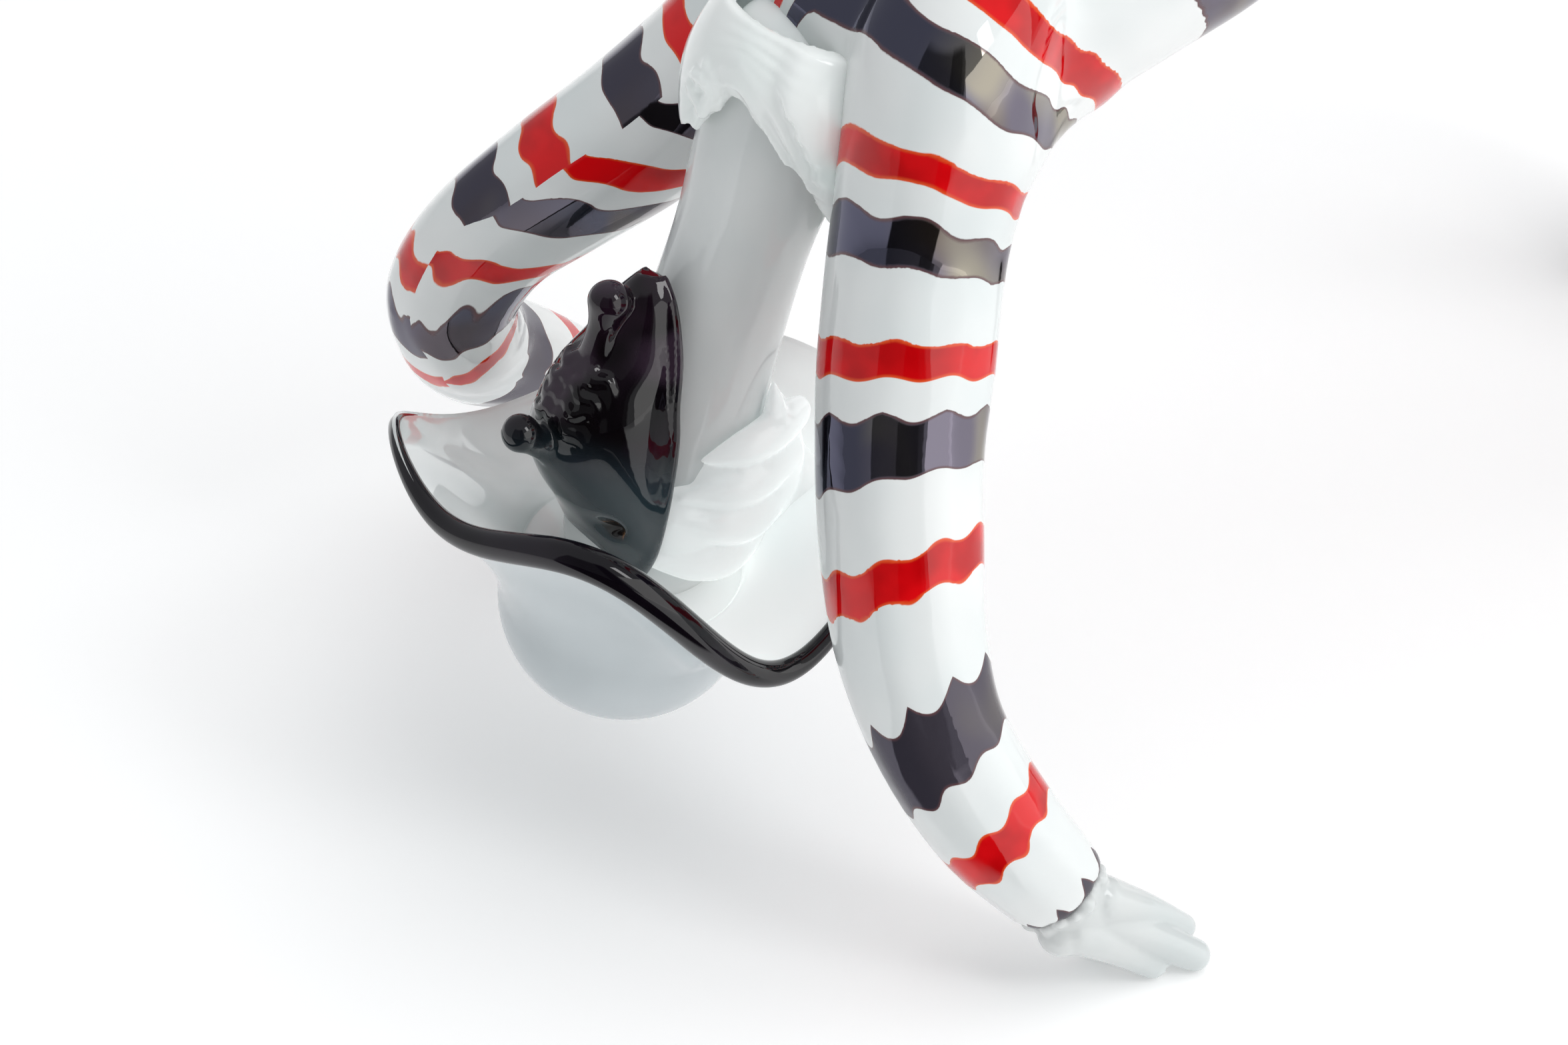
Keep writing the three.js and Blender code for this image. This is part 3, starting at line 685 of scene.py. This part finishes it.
# Down the face: how far in mm, then how far the ridge and the rim stand out and the half width, as shares of
# the mask's own.
MASK_STOPS = (
    (23.6, 0.63, 0.52, 0.18), (26.4, 0.7, 0.51, 0.36), (30, 0.75, 0.49, 0.51), (34, 0.79, 0.46, 0.64),
    (38.5, 0.9, 0.45, 0.77), (43, 0.94, 0.42, 0.88), (49, 0.93, 0.39, 0.95), (54, 0.79, 0.36, 0.96),
    (60, 0.54, 0.31, 0.88), (66, 0.34, 0.23, 0.58),
)
MASK_SIDES = 72
MASK_RINGS = 70
MASK_RIM_RADIUS = 1.3 * MM
# The two knobs on their stalks: down the face, how far out in mask reaches, and the radius in knob radii.
BROW_KNOB = ((37, 0.74, 1.3), (33.4, 0.76, 1.02), (30.6, 0.78, 0.86), (27.2, 0.79, 1.24))
NOSE_KNOB = ((50, 0.74, 1.2), (47.9, 0.88, 1.06), (46.6, 1.01, 0.88), (45.3, 1.12, 1.1))
FOLD_RADIUS = 0.8 * CREASE_RADIUS
FOLD_SUNK = 0.15 * MM
FIRST_FOLD = 36.2
FOLD_SPACING = 2.3
EYE_DOWN = 56.6
EYE_SIDE = MASK_HALF_WIDTH * 0.6
EYE_DEPTH = 2.6 * MM
EYE_FLOOR = 1.8 * MM


def mask_skew(down):
    """How far the top of the mask is higher on the near side, as a share of the distance sideways."""
    return 0.22 * (1 - smoothstep(25, 38, down))


def mask_body():
    turns = around(MASK_SIDES)
    front_share = np.where(np.cos(turns) > 0, np.cos(turns), 0.2 * np.cos(turns))
    rings = []
    for t in np.linspace(0, 1, MASK_RINGS):
        down, front, back, wide = spline(MASK_STOPS, t)
        forward = MASK_REACH * mix(back, front, front_share)
        side = np.sin(turns) * wide * MASK_HALF_WIDTH
        across = FACE_SIDE - HEAD_DOWN * mask_skew(down)
        rings.append(head_point(down) + np.outer(forward, FORWARD) + np.outer(side, across))
    return skin(rings, rings[0].mean(0), rings[-1].mean(0))


def on_mask(down, side, sunk=0.0):
    """The point of the mask's face this far down and across."""
    downs, fronts, backs, wides = zip(*MASK_STOPS)
    front, back, wide = (np.interp(down, downs, values) for values in (fronts, backs, wides))
    across = side / (wide * MASK_HALF_WIDTH)
    return head_point(down, MASK_REACH * mix(back, front, math.sqrt(1 - across ** 2)) - sunk, side)


def stalk(stops):
    """A knob and the stalk that carries it, down the middle of the face."""
    places = [(head_point(down, forward * MASK_REACH), KNOB_RADIUS * size) for down, forward, size in stops]
    return rod(places, sides=32, steps=30)


def fold(down, sign, lean):
    """A crumple in the hot glass, bent like an S from the ridge down one cheek."""
    path = ((0.8, -0.06, 0.6), (-0.5, 0.1, 0.95), (0.8, 0.22, 1.0), (0.2 + lean, 0.34, 0.8),
            (1.5 + lean, 0.46, 0.4))
    stops = [(on_mask(down + drop, sign * across * MASK_HALF_WIDTH, FOLD_SUNK), FOLD_RADIUS * thick)
             for drop, across, thick in path]
    return rod(stops, sides=16, steps=30, side=HEAD_DOWN)


def mask_rim(sign):
    stops = []
    for down, _, back, wide in MASK_STOPS:
        side = sign * wide * MASK_HALF_WIDTH * 0.9
        place = head_point(down, MASK_REACH * (back + 0.01), side) - HEAD_DOWN * mask_skew(down) * side
        stops.append((place, MASK_RIM_RADIUS * min(1, wide / 0.55)))
    return rod(stops, sides=20, steps=60, side=FORWARD)


def press_eyes(mask):
    points = points_of(mask)
    for sign in (-1, 1):
        gap = np.linalg.norm(points - on_mask(EYE_DOWN, sign * EYE_SIDE), axis=1)
        depth = EYE_DEPTH * np.exp(-(gap / EYE_RADIUS) ** 2)
        points = points - FORWARD * depth[:, None]
    set_points(mask, points)


def mark_mask(mask):
    """Says for the material where the eyes are, and the lower face that gets a painted reflection."""
    points = points_of(mask)
    eye = np.zeros(len(points))
    for sign in (-1, 1):
        centre = on_mask(EYE_DOWN, sign * EYE_SIDE, EYE_FLOOR)
        eye = np.maximum(eye, 1 - smoothstep(0.7, 1.15, np.linalg.norm(points - centre, axis=1) / EYE_RADIUS))
    # Where the painted teal reflection goes.
    low = smoothstep(42, 51, (points - NECK_BASE) @ HEAD_DOWN / POSE_SCALE)
    add_values(mask, "features", eye, low)


def make_mask():
    parts = [mask_body(), stalk(BROW_KNOB), stalk(NOSE_KNOB)]
    for sign in (-1, 1):
        parts.append(mask_rim(sign))
        parts += [fold(FIRST_FOLD + FOLD_SPACING * i, sign, 0.6 * math.sin(2.4 * i)) for i in range(4)]
    mask = fused("mask_face", parts, voxel=0.3 * MM, rounds=6)
    press_eyes(mask)
    mark_mask(mask)
    return mask


# Each lock sweeps from the back of the head to a point by the mask: (down, forward, side) in mm, then its
# size. The last one is on the near side only.
LOCKS = (
    ((44, -15, 5), (43.4, -7, 9.2), (44.4, -1, 10.6), (46.2, 4, 9.6), 1.0),
    ((49, -14, 7), (49.4, -6, 10.4), (50.2, 0, 11.4), (51.4, 5.8, 9.8), 1.05),
    ((54, -14, 7), (55.2, -7, 10.6), (54.8, 0, 11.6), (54.8, 6.6, 10), 1.1),
    ((59.5, -12, 7), (61, -5, 10), (61, 1, 10.4), (61.6, 7.4, 8.6), 1.15),
    ((50, -14, 3), (53, -17, 6), (59, -15, 8), (63, -7, 8.4), 1.2),
    ((46, -9, 8), (42, -7.6, 8.6), (39, -6, 8.8), (36, -4.8, 8.6), 0.6),
)
LOCK_TALL = (0.8, 1, 0.85, 0.16)
LOCK_DEEP = (0.6, 0.72, 0.6, 0.16)
LOCK_SWELL = 1.12
WIG_BACK = np.array([1.3, 1.24, 1.45]) * NECK_RADIUS


def lock(path, sign):
    size = path[-1] * LOCK_RADIUS * LOCK_SWELL
    stops = [(head_point(down, forward * MM, sign * side * MM), size * tall, size * deep)
             for (down, forward, side), tall, deep in zip(path, LOCK_TALL, LOCK_DEEP)]
    return rod(stops, sides=28, steps=36, side=HEAD_DOWN)


def make_hair():
    parts = [ball(head_point(53, -8.8 * MM), WIG_BACK)]
    for sign in (-1, 1):
        parts.append(ball(head_point(56, 1.4 * MM, sign * 4.2 * MM), NECK_RADIUS * 0.92))
        parts.append(ball(head_point(50, -2 * MM, sign * 5.2 * MM), NECK_RADIUS * 0.8))
    parts += [lock(path, 1) for path in LOCKS]
    parts += [lock(path, -1) for path in LOCKS[:-1]]
    return fused("wig", parts, voxel=0.42 * MM, rounds=4)


# The collar

COLLAR_START = -12
COLLAR_INSIDE = NECK_RADIUS * 1.1 + 0.6 * MM
COLLAR_AWAY = np.array([-HEAD_DOWN[2], 0, HEAD_DOWN[0]])
COLLAR_RINGS = 64
COLLAR_SIDES = 300
LAPPET_ANGLE = math.radians(330)
PARTING_ANGLE = math.radians(205)
CRUMPLE_WAVE = 0.5 * MM
HOLLOW_WAVE = 0.35 * MM
# The upper layer ends in a crimped hem: where it runs, as angles and shares of the length.
HEM_ANGLES = (215, 226, 232, 238, 242, 246, 252, 258, 270, 285, 300)
HEM_SHARES = (0.1, 0.3, 0.46, 0.55, 0.62, 0.7, 0.77, 0.88, 0.97, 1.1, 1.3)
HEM_STEP = 1.8 * MM
# Thin folds laid over the collar, as (angle, share) pairs and a radius in mm.
COLLAR_FOLDS = (
    (((179, 0.58), (187, 0.64), (191, 0.8), (188, 0.98)), 0.75),
    (((184, 0.48), (193, 0.68), (197, 0.86), (193, 1.0)), 0.6),
    (((176, 0.66), (181, 0.78), (184, 0.92), (181, 1.02)), 0.7),
    (((206, 0.5), (214, 0.56), (230, 0.66), (243, 0.84), (262, 1.0)), 0.42),
    (((188, 0.72), (208, 0.78), (226, 0.88), (244, 1.0)), 0.38),
)


def nearness(value, centre, width):
    """1 at the centre, and soft to 0 on both sides of it."""
    return math.exp(-(((value - centre) / width) ** 2))


def collar_waves(angle, degrees, share):
    """How far the collar waves out: wide and fine frills, a crumpled place and a ridged hollow."""
    wave = COLLAR_FRILL * share ** 3 * math.sin(9 * angle)
    wave += COLLAR_FRILL * 0.35 * share ** 6 * math.sin(23 * angle + 1)
    crumple = nearness(degrees, 186, 11) * smoothstep(0.35, 0.7, share)
    wave += CRUMPLE_WAVE * crumple * math.sin(34 * share + degrees * 0.5)
    hollow = nearness(degrees, 212, 20) * (1 - smoothstep(0.3, 0.5, share))
    return wave + HOLLOW_WAVE * hollow * math.sin(share * 52)


def upper_layer(degrees, share):
    """1 where the collar's upper layer lies over the lower one, and 0 past its hem."""
    crimp = 0.05 * abs(math.sin(degrees * 0.42))
    hem = np.interp(degrees, HEM_ANGLES, HEM_SHARES) + crimp
    return smoothstep(222, 236, degrees) * (1 - smoothstep(-0.02, 0.02, share - hem))


def collar_point(angle, share, outward):
    degrees = math.degrees(angle) % 360
    from_lappet = angle - LAPPET_ANGLE
    lappets = 0.3 * math.cos(from_lappet) + 0.25 * math.cos(2 * from_lappet)
    length = COLLAR_LENGTH * (1 + lappets - 0.25 * nearness(angle, PARTING_ANGLE, 0.3))
    bulge = COLLAR_BULGE * (1 + 0.35 * math.cos(from_lappet)) * math.sin(math.pi * 0.85 * share)
    layer = HEM_STEP * upper_layer(degrees, share) if outward > 0 else 0
    radius = COLLAR_INSIDE + bulge + collar_waves(angle, degrees, share) + outward + layer
    return (head_point(COLLAR_START) + HEAD_DOWN * length * share + COLLAR_AWAY * math.cos(angle) * radius
            + np.array([0, 1, 0]) * math.sin(angle) * radius)


def collar_fold(path, radius):
    height = COLLAR_WALL * 0.85
    stops = [(collar_point(math.radians(angle), share, height), radius * MM) for angle, share in path]
    return rod(stops, sides=14, steps=40, side=FORWARD)


def make_collar():
    shares, angles = np.linspace(0, 1, COLLAR_RINGS), around(COLLAR_SIDES)
    inner = [np.array([collar_point(a, s, 0) for a in angles]) for s in shares]
    outer = [np.array([collar_point(a, s, COLLAR_WALL * (1 - 0.6 * s ** 4)) for a in angles]) for s in shares]
    parts = [loop(inner + outer[::-1])]
    parts += [collar_fold(path, radius) for path, radius in COLLAR_FOLDS]
    return fused("frill", parts, voxel=0.38 * MM, rounds=3)


# Materials

class Nodes:
    """A short way to write a node tree. Each value is a constant or the output of another node."""

    def __init__(self, tree):
        self.tree = tree

    def put(self, socket, value):
        if hasattr(value, "links"):
            self.tree.links.new(value, socket)
        else:
            socket.default_value = value

    def add(self, kind, inputs, **settings):
        node = self.tree.nodes.new(kind)
        for key, value in settings.items():
            setattr(node, key, value)
        for key, value in inputs.items():
            self.put(node.inputs[key], value)
        return node

    def math(self, operation, *values):
        return self.add("ShaderNodeMath", dict(enumerate(values)), operation=operation).outputs[0]

    def times(self, a, b):
        return self.math("MULTIPLY", a, b)

    def vector(self, operation, *values):
        return self.add("ShaderNodeVectorMath", dict(enumerate(values)), operation=operation).outputs[0]

    def dot(self, a, b):
        return self.add("ShaderNodeVectorMath", {0: a, 1: b}, operation="DOT_PRODUCT").outputs["Value"]

    def ramp(self, value, low, high):
        """0 at low and 1 at high, smooth between, whichever of the two is the larger."""
        inputs = {0: value, 1: low, 2: high}
        return self.add("ShaderNodeMapRange", inputs, interpolation_type="SMOOTHSTEP").outputs[0]

    def blend(self, share, a, b):
        """From colour a to colour b."""
        return self.add("ShaderNodeMix", {0: share, 6: a, 7: b}, data_type="RGBA").outputs[2]

    def choose(self, share, a, b):
        """From number a to number b."""
        return self.add("ShaderNodeMix", {0: share, 2: a, 3: b}, data_type="FLOAT").outputs[0]

    def place(self, kind="Object"):
        return self.tree.nodes.new("ShaderNodeTexCoord").outputs[kind]

    def in_reflections(self):
        return self.tree.nodes.new("ShaderNodeLightPath").outputs["Is Glossy Ray"]

    def noise(self, scale, detail=2.0, stretch=None):
        place = self.place()
        if stretch:
            place = self.add("ShaderNodeMapping", {"Vector": place, "Scale": stretch}).outputs[0]
        inputs = {"Vector": place, "Scale": scale, "Detail": detail}
        return self.add("ShaderNodeTexNoise", inputs).outputs[0]

    def cloud(self):
        """The faint clouds of white glass."""
        return self.ramp(self.noise(45), 0.35, 0.7)

    def attribute(self, name):
        vector = self.add("ShaderNodeAttribute", {}, attribute_name=name).outputs["Vector"]
        return self.add("ShaderNodeSeparateXYZ", {0: vector}).outputs


class Finish(Nodes):
    """The nodes of a material."""

    def __init__(self, name):
        self.material = bpy.data.materials.new(name)
        self.material.use_nodes = True
        super().__init__(self.material.node_tree)
        self.shader = self.tree.nodes["Principled BSDF"]

    def set(self, **values):
        for key, value in values.items():
            self.put(self.shader.inputs[key.replace("_", " ")], value)

    def scatter(self, weight, depth):
        """Light spreads inside the glass, as far in all colours."""
        self.set(Subsurface_Weight=weight, Subsurface_Scale=depth, Subsurface_Radius=(1, 1, 1))

    def bump(self, height, depth):
        node = self.add("ShaderNodeBump", {"Height": height, "Distance": depth, "Strength": 1.0})
        self.put(self.shader.inputs["Normal"], node.outputs[0])


WHITE = (0.83, 0.85, 0.845, 1)
COOL_WHITE = (0.74, 0.785, 0.785, 1)
HAND_WHITES = ((0.69, 0.71, 0.705, 1), (0.62, 0.66, 0.66, 1))
NECK_WHITES = ((0.78, 0.8, 0.795, 1), (0.7, 0.74, 0.74, 1))
COLLAR_WHITES = ((0.86, 0.9, 0.885, 1), (0.7, 0.79, 0.765, 1))
HAT_GREY = (0.62, 0.67, 0.69, 1)
HAT_SHADE = (0.54, 0.59, 0.61, 1)
RED = (0.72, 0.003, 0.006, 1)
DEEP_RED = (0.5, 0.001, 0.003, 1)
ORANGE = (0.75, 0.09, 0.02, 1)
BLACKS = ((0.003, 0.002, 0.004, 1), (0.01, 0.007, 0.012, 1))
MASK_BLACK = (0.003, 0.002, 0.003, 1)
MASK_PLUM = (0.02, 0.008, 0.018, 1)
MASK_HAZE = (0.03, 0.018, 0.03, 1)
PAINTED_TEAL_REFLECTION = (0.019, 0.033, 0.041, 1)
EYE_BROWN = (0.01, 0.007, 0.006, 1)
EYE_AMBER = (0.3, 0.13, 0.045, 1)
# Thin metallic film on the dark bands; bar the violet edge, these colours are painted reflections and painted
# shade.
DARK = (0.17, 0.155, 0.195, 1)
DARK_BROWN = (0.16, 0.13, 0.115, 1)
SILVER = (0.31, 0.285, 0.235, 1)
DARK_BLUE = (0.18, 0.2, 0.27, 1)
VIOLET_EDGE = (0.12, 0.055, 0.06, 1)
FAR_DARK = (0.1, 0.09, 0.118, 1)
SHADE_VIOLET = (0.1, 0.1, 0.145, 1)
LOW_VIOLET = (0.06, 0.052, 0.07, 1)
GLASS_DEPTH = 4 * MM
SURFACE_WAVE = 0.12 * MM
HAT_PAINTED_GLOW = 0.34


def white_glass(name, base=WHITE, shade=COOL_WHITE, milk=0.3, wave=SURFACE_WAVE, glow=0):
    """Milky glass. Its glow is painted light that brightens it evenly."""
    n = Finish(name)
    n.set(Base_Color=n.blend(n.cloud(), base, shade), Roughness=0.045, IOR=1.5,
          Emission_Color=WHITE, Emission_Strength=glow)
    n.scatter(milk, GLASS_DEPTH)
    n.bump(n.noise(70, 1.0), wave)
    return n.material


def hat_glass():
    """Grey outside and white inside, with a painted glow on the inside towards the window."""
    n = Finish("hat_glass")
    inner, bright, _ = n.attribute("inner")
    cloud = n.cloud()
    # The emission is painted light on the inside towards the window.
    n.set(Base_Color=n.blend(inner, n.blend(cloud, HAT_GREY, HAT_SHADE), n.blend(cloud, WHITE, COOL_WHITE)),
          Roughness=0.05, IOR=1.5, Emission_Color=WHITE, Emission_Strength=n.times(bright, HAT_PAINTED_GLOW))
    n.scatter(0.35, GLASS_DEPTH)
    n.bump(n.noise(50, 1.0), SURFACE_WAVE)
    return n.material


def black_glass():
    n = Finish("black_glass")
    n.set(Base_Color=n.blend(n.ramp(n.noise(60), 0.45, 0.75), *BLACKS), Roughness=0.03, IOR=1.52)
    n.bump(n.noise(90, 1.0), 0.08 * MM)
    return n.material


def mask_glass():
    """Black glass with a plum haze, a painted teal reflection on the lower face, and streaked amber eyes."""
    n = Finish("mask_glass")
    eye, low, _ = n.attribute("features")
    streak = n.noise(900, 3.0, (1, 1, 0.25))
    amber = n.blend(n.ramp(streak, 0.5, 0.64), EYE_BROWN, EYE_AMBER)
    body = n.blend(n.ramp(n.noise(80), 0.4, 0.7), MASK_BLACK, MASK_PLUM)
    body = n.blend(n.ramp(n.noise(75, 1.0), 0.5, 0.62), body, MASK_HAZE)
    # The lower face gets a painted teal reflection.
    body = n.blend(low, body, PAINTED_TEAL_REFLECTION)
    n.set(Base_Color=n.blend(eye, body, amber), Roughness=0.03, IOR=1.54)
    n.bump(n.noise(110, 1.0), 0.08 * MM)
    return n.material


# How far round the far arm the seam's left side goes, and a number that only seams are above.
LEFT_END = -1.63
SEAM_LIMIT = -5.0


def scallop(n, turn, pointed):
    """The scalloped edge of a stripe, one wave a rib: soft waves or pointed ones."""
    half_turns = n.times(n.math("ADD", turn, RIB_START), RIBS / 2)
    cusp = n.math("SUBTRACT", 1.0, n.math("ABSOLUTE", n.math("SINE", half_turns)))
    soft = n.math("MULTIPLY_ADD", n.math("COSINE", n.times(half_turns, 2.0)), 0.5, 0.5)
    return n.math("SUBTRACT", n.choose(pointed, soft, cusp), 0.4)


def seam_tip(n, turn, seam):
    """How far the stripes narrow to a tip on the right of the seam."""
    past_seam = n.math("SUBTRACT", turn, seam)
    return n.times(n.math("GREATER_THAN", past_seam, 0.0), n.ramp(past_seam, 0.22, 0.0))


def painted_reflection_colour(n, turn, far_arm, low_band):
    """Painted reflections on the dark stripes: brown, blue and silver, with painted shade on their left side,
    and darker low down and on the far arm.
    """
    body = n.blend(n.ramp(n.noise(55), 0.45, 0.6), DARK, DARK_BROWN)
    body = n.blend(n.ramp(n.noise(48, 1.0, (1, 1, 1.3)), 0.5, 0.68), body, DARK_BLUE)
    body = n.blend(n.ramp(n.noise(70, 1.0, (1.2, 1, 0.8)), 0.52, 0.66), body, SILVER)
    # Painted shade on the left side of each limb.
    body = n.blend(n.ramp(turn, -0.15, -0.6), body, SHADE_VIOLET)
    body = n.blend(low_band, body, LOW_VIOLET)
    return n.blend(n.times(far_arm, 0.7), body, FAR_DARK)


def striped_glass():
    n = Finish("striped_glass")
    number, fine, wave = n.attribute("stripe")
    left_number, seam, _ = n.attribute("other_side")
    cos, sin, _ = n.attribute("turn")
    turn = n.math("ARCTAN2", sin, cos)
    far_arm = n.math("GREATER_THAN", seam, SEAM_LIMIT)
    on_left = n.times(n.math("LESS_THAN", turn, seam), n.math("GREATER_THAN", turn, LEFT_END))
    number = n.choose(on_left, number, left_number)

    nearest = n.math("ROUND", number)
    from_middle = n.math("SUBTRACT", number, nearest)
    upper = n.math("GREATER_THAN", from_middle, 0.0)
    dark = n.math("LESS_THAN", n.math("PINGPONG", nearest, 1.0), 0.5)

    # How far outside its stripe a point is, in mm.
    crown = n.times(dark, upper)
    sharp = n.times(n.ramp(wave, 0.8, 1.9), n.math("SUBTRACT", 1.0, far_arm))
    height = n.times(wave, n.choose(crown, 0.55, 1.0))
    upward = n.math("MULTIPLY_ADD", upper, 2.0, -1.0)
    sway = n.times(n.times(scallop(n, turn, n.times(crown, sharp)), height), upward)
    outside = n.math("DIVIDE", n.math("SUBTRACT", n.math("ABSOLUTE", from_middle), 0.25), fine)
    outside = n.math("SUBTRACT", outside, sway)
    outside = n.math("MULTIPLY_ADD", seam_tip(n, turn, seam), 1.1, outside)
    outside = n.math("ADD", outside, n.math("MULTIPLY_ADD", n.noise(160, 1.0), 0.9, -0.45))
    inside = n.ramp(outside, 0.07, -0.07)
    deep = n.ramp(outside, -0.05, -0.5)

    low_band = n.times(n.ramp(number, 3.0, 2.9), 0.8)
    red = n.blend(deep, ORANGE, n.blend(n.ramp(n.noise(120), 0.4, 0.65), RED, DEEP_RED))
    # A real violet fringe round the painted reflections of the dark stripes.
    fringe_and_painted_reflection = n.blend(deep, VIOLET_EDGE, painted_reflection_colour(n, turn, far_arm, low_band))
    white = n.blend(n.cloud(), WHITE, COOL_WHITE)
    metallic = n.times(n.times(dark, deep), n.math("MULTIPLY_ADD", low_band, -0.6, 0.95))
    n.set(Base_Color=n.blend(inside, white, n.blend(dark, red, fringe_and_painted_reflection)), Metallic=metallic,
          Roughness=0.04, IOR=1.52)
    n.scatter(0.12, 2 * MM)
    n.bump(n.noise(60, 1.0), 0.1 * MM)
    return n.material


# Assembly

black = black_glass()
hand_white = white_glass("hand_glass", *HAND_WHITES)
neck_white = white_glass("neck_glass", *NECK_WHITES)
# The glow on the hair and on the collar is painted light.
wig_white = white_glass("wig_glass", wave=0.05 * MM, glow=0.3)
collar_white = white_glass("collar_glass", *COLLAR_WHITES, milk=0.5, wave=0.15 * MM, glow=0.08)

finish_piece(make_suit(), "striped_suit", striped_glass())
finish_piece(make_hand("hand_near", NEAR_ARM, -1), "near_hand", hand_white)
finish_piece(make_hand("hand_far", FAR_ARM, 1), "far_hand", hand_white)
finish_piece(make_shoe("slipper_near", -1), "near_shoe", black)
finish_piece(make_shoe("slipper_far", 1), "far_shoe", black)
finish_piece(make_head(), "head", neck_white)
finish_piece(make_mask(), "mask", mask_glass())
finish_piece(make_hair(), "hair", wig_white)
finish_piece(make_hat(), "hat", hat_glass())
finish_piece(make_rim(), "hat_rim", black)
finish_piece(make_collar(), "collar", collar_white)


# Floor, lights and camera

CAMERA_PLACE = np.array([-231.0, -401.4, 387.1]) * MM + POSE_SHIFT
CAMERA_LENS = 100
CAMERA_SENSOR = 36
FLOOR_SIZE = 12
FLOOR_GLOW = 0.22
FLOOR_WHITE = (0.9, 0.9, 0.9, 1)
ROOM_DARK = (0.02, 0.017, 0.015, 1)
# In reflections the white sheet ends here, measured ahead in the picture, with the dark room beyond it.
SHEET_END = -0.105
SHEET_EDGE = 0.01
ARM_FOOT = np.array([-20, -45, 0]) * MM + POSE_SHIFT
ROOM_TURN = -133
STUDIO_LIGHT = 0.41
STUDIO_WHITE = (0.95, 0.975, 1, 1)
# The parts of the studio that are darker: azimuth and half width in degrees, and their share of its light.
DIM_PARTS = ((ROOM_TURN, 33.5, 0.22), (-106, 11, 0.15), (-8, 2.5, 0.1), (24, 30, 0.5))


def floor():
    """A plain white sheet. Only reflections show where it ends."""
    bpy.ops.mesh.primitive_plane_add(size=FLOOR_SIZE)
    plane = bpy.context.object
    plane.name = "floor"
    n = Finish("floor")
    from_arm = n.vector("NORMALIZE", n.vector("SUBTRACT", n.place(), ARM_FOOT))
    dark = n.ramp(n.dot(from_arm, direction(ROOM_TURN)), 0.815, 0.835)
    dark = n.times(dark, n.ramp(n.dot(n.place(), PICTURE_AHEAD), SHEET_END, SHEET_END - SHEET_EDGE))
    dark = n.times(dark, n.in_reflections())
    glow = n.times(n.math("SUBTRACT", 1.0, dark), FLOOR_GLOW)
    n.set(Base_Color=n.blend(dark, FLOOR_WHITE, ROOM_DARK), Roughness=0.9, Specular_IOR_Level=0,
          Emission_Color=(1, 1, 1, 1), Emission_Strength=glow)
    plane.data.materials.append(n.material)


def panel(name, azimuth, elevation, distance, wide, high, brightness, colour=(1, 1, 1)):
    """A soft light that faces the figure, this bright however large it is."""
    light = bpy.data.lights.new(name, "AREA")
    light.shape = "RECTANGLE"
    light.size = wide
    light.size_y = high
    light.energy = brightness * math.pi * wide * high
    light.color = colour
    lamp = put_in_scene(name, light)
    lamp.location = Vector(direction(azimuth, elevation)) * distance
    lamp.rotation_euler = lamp.location.to_track_quat("Z", "Y").to_euler()
    return lamp


def surroundings():
    """An even white studio. In reflections parts of it are darker, such as the room behind the viewer."""
    world = bpy.data.worlds.new("studio")
    bpy.context.scene.world = world
    world.use_nodes = True
    n = Nodes(world.node_tree)
    place = n.place("Generated")
    level = n.vector("NORMALIZE", n.vector("MULTIPLY", place, (1, 1, 0)))
    mirrored = n.times(n.ramp(n.dot(place, (0, 0, 1)), 0.85, 0.75), n.in_reflections())
    light = STUDIO_LIGHT
    for azimuth, half_width, share in DIM_PARTS:
        edges = [math.cos(math.radians(half_width + off)) for off in (1, -1)]
        dim = n.times(n.ramp(n.dot(level, direction(azimuth)), *edges), mirrored)
        light = n.times(light, n.choose(dim, 1.0, share))
    background = n.tree.nodes["Background"]
    n.put(background.inputs["Color"], STUDIO_WHITE)
    n.put(background.inputs["Strength"], light)


def camera():
    lens = bpy.data.cameras.new("camera")
    lens.lens = CAMERA_LENS
    lens.sensor_width = CAMERA_SENSOR
    lens.clip_start = 0.01
    viewer = put_in_scene("camera", lens)
    axes = Matrix((PICTURE_RIGHT, np.cross(TOWARDS_VIEW, PICTURE_RIGHT), TOWARDS_VIEW)).transposed()
    viewer.matrix_world = Matrix.Translation(Vector(CAMERA_PLACE)) @ axes.to_4x4()
    bpy.context.scene.camera = viewer


floor()
surroundings()
panel("window_right", azimuth=-55, elevation=20, distance=1.1, wide=1.65, high=0.8, brightness=1.22,
      colour=(1, 0.99, 0.97))
overhead = panel("overhead", azimuth=20, elevation=78, distance=1.5, wide=1.6, high=1.6, brightness=1.5)
overhead.visible_glossy = False
panel("lamp", azimuth=-66, elevation=50, distance=1.1, wide=0.26, high=0.4, brightness=5)
camera()
bpy.context.scene.view_settings.view_transform = "Standard"
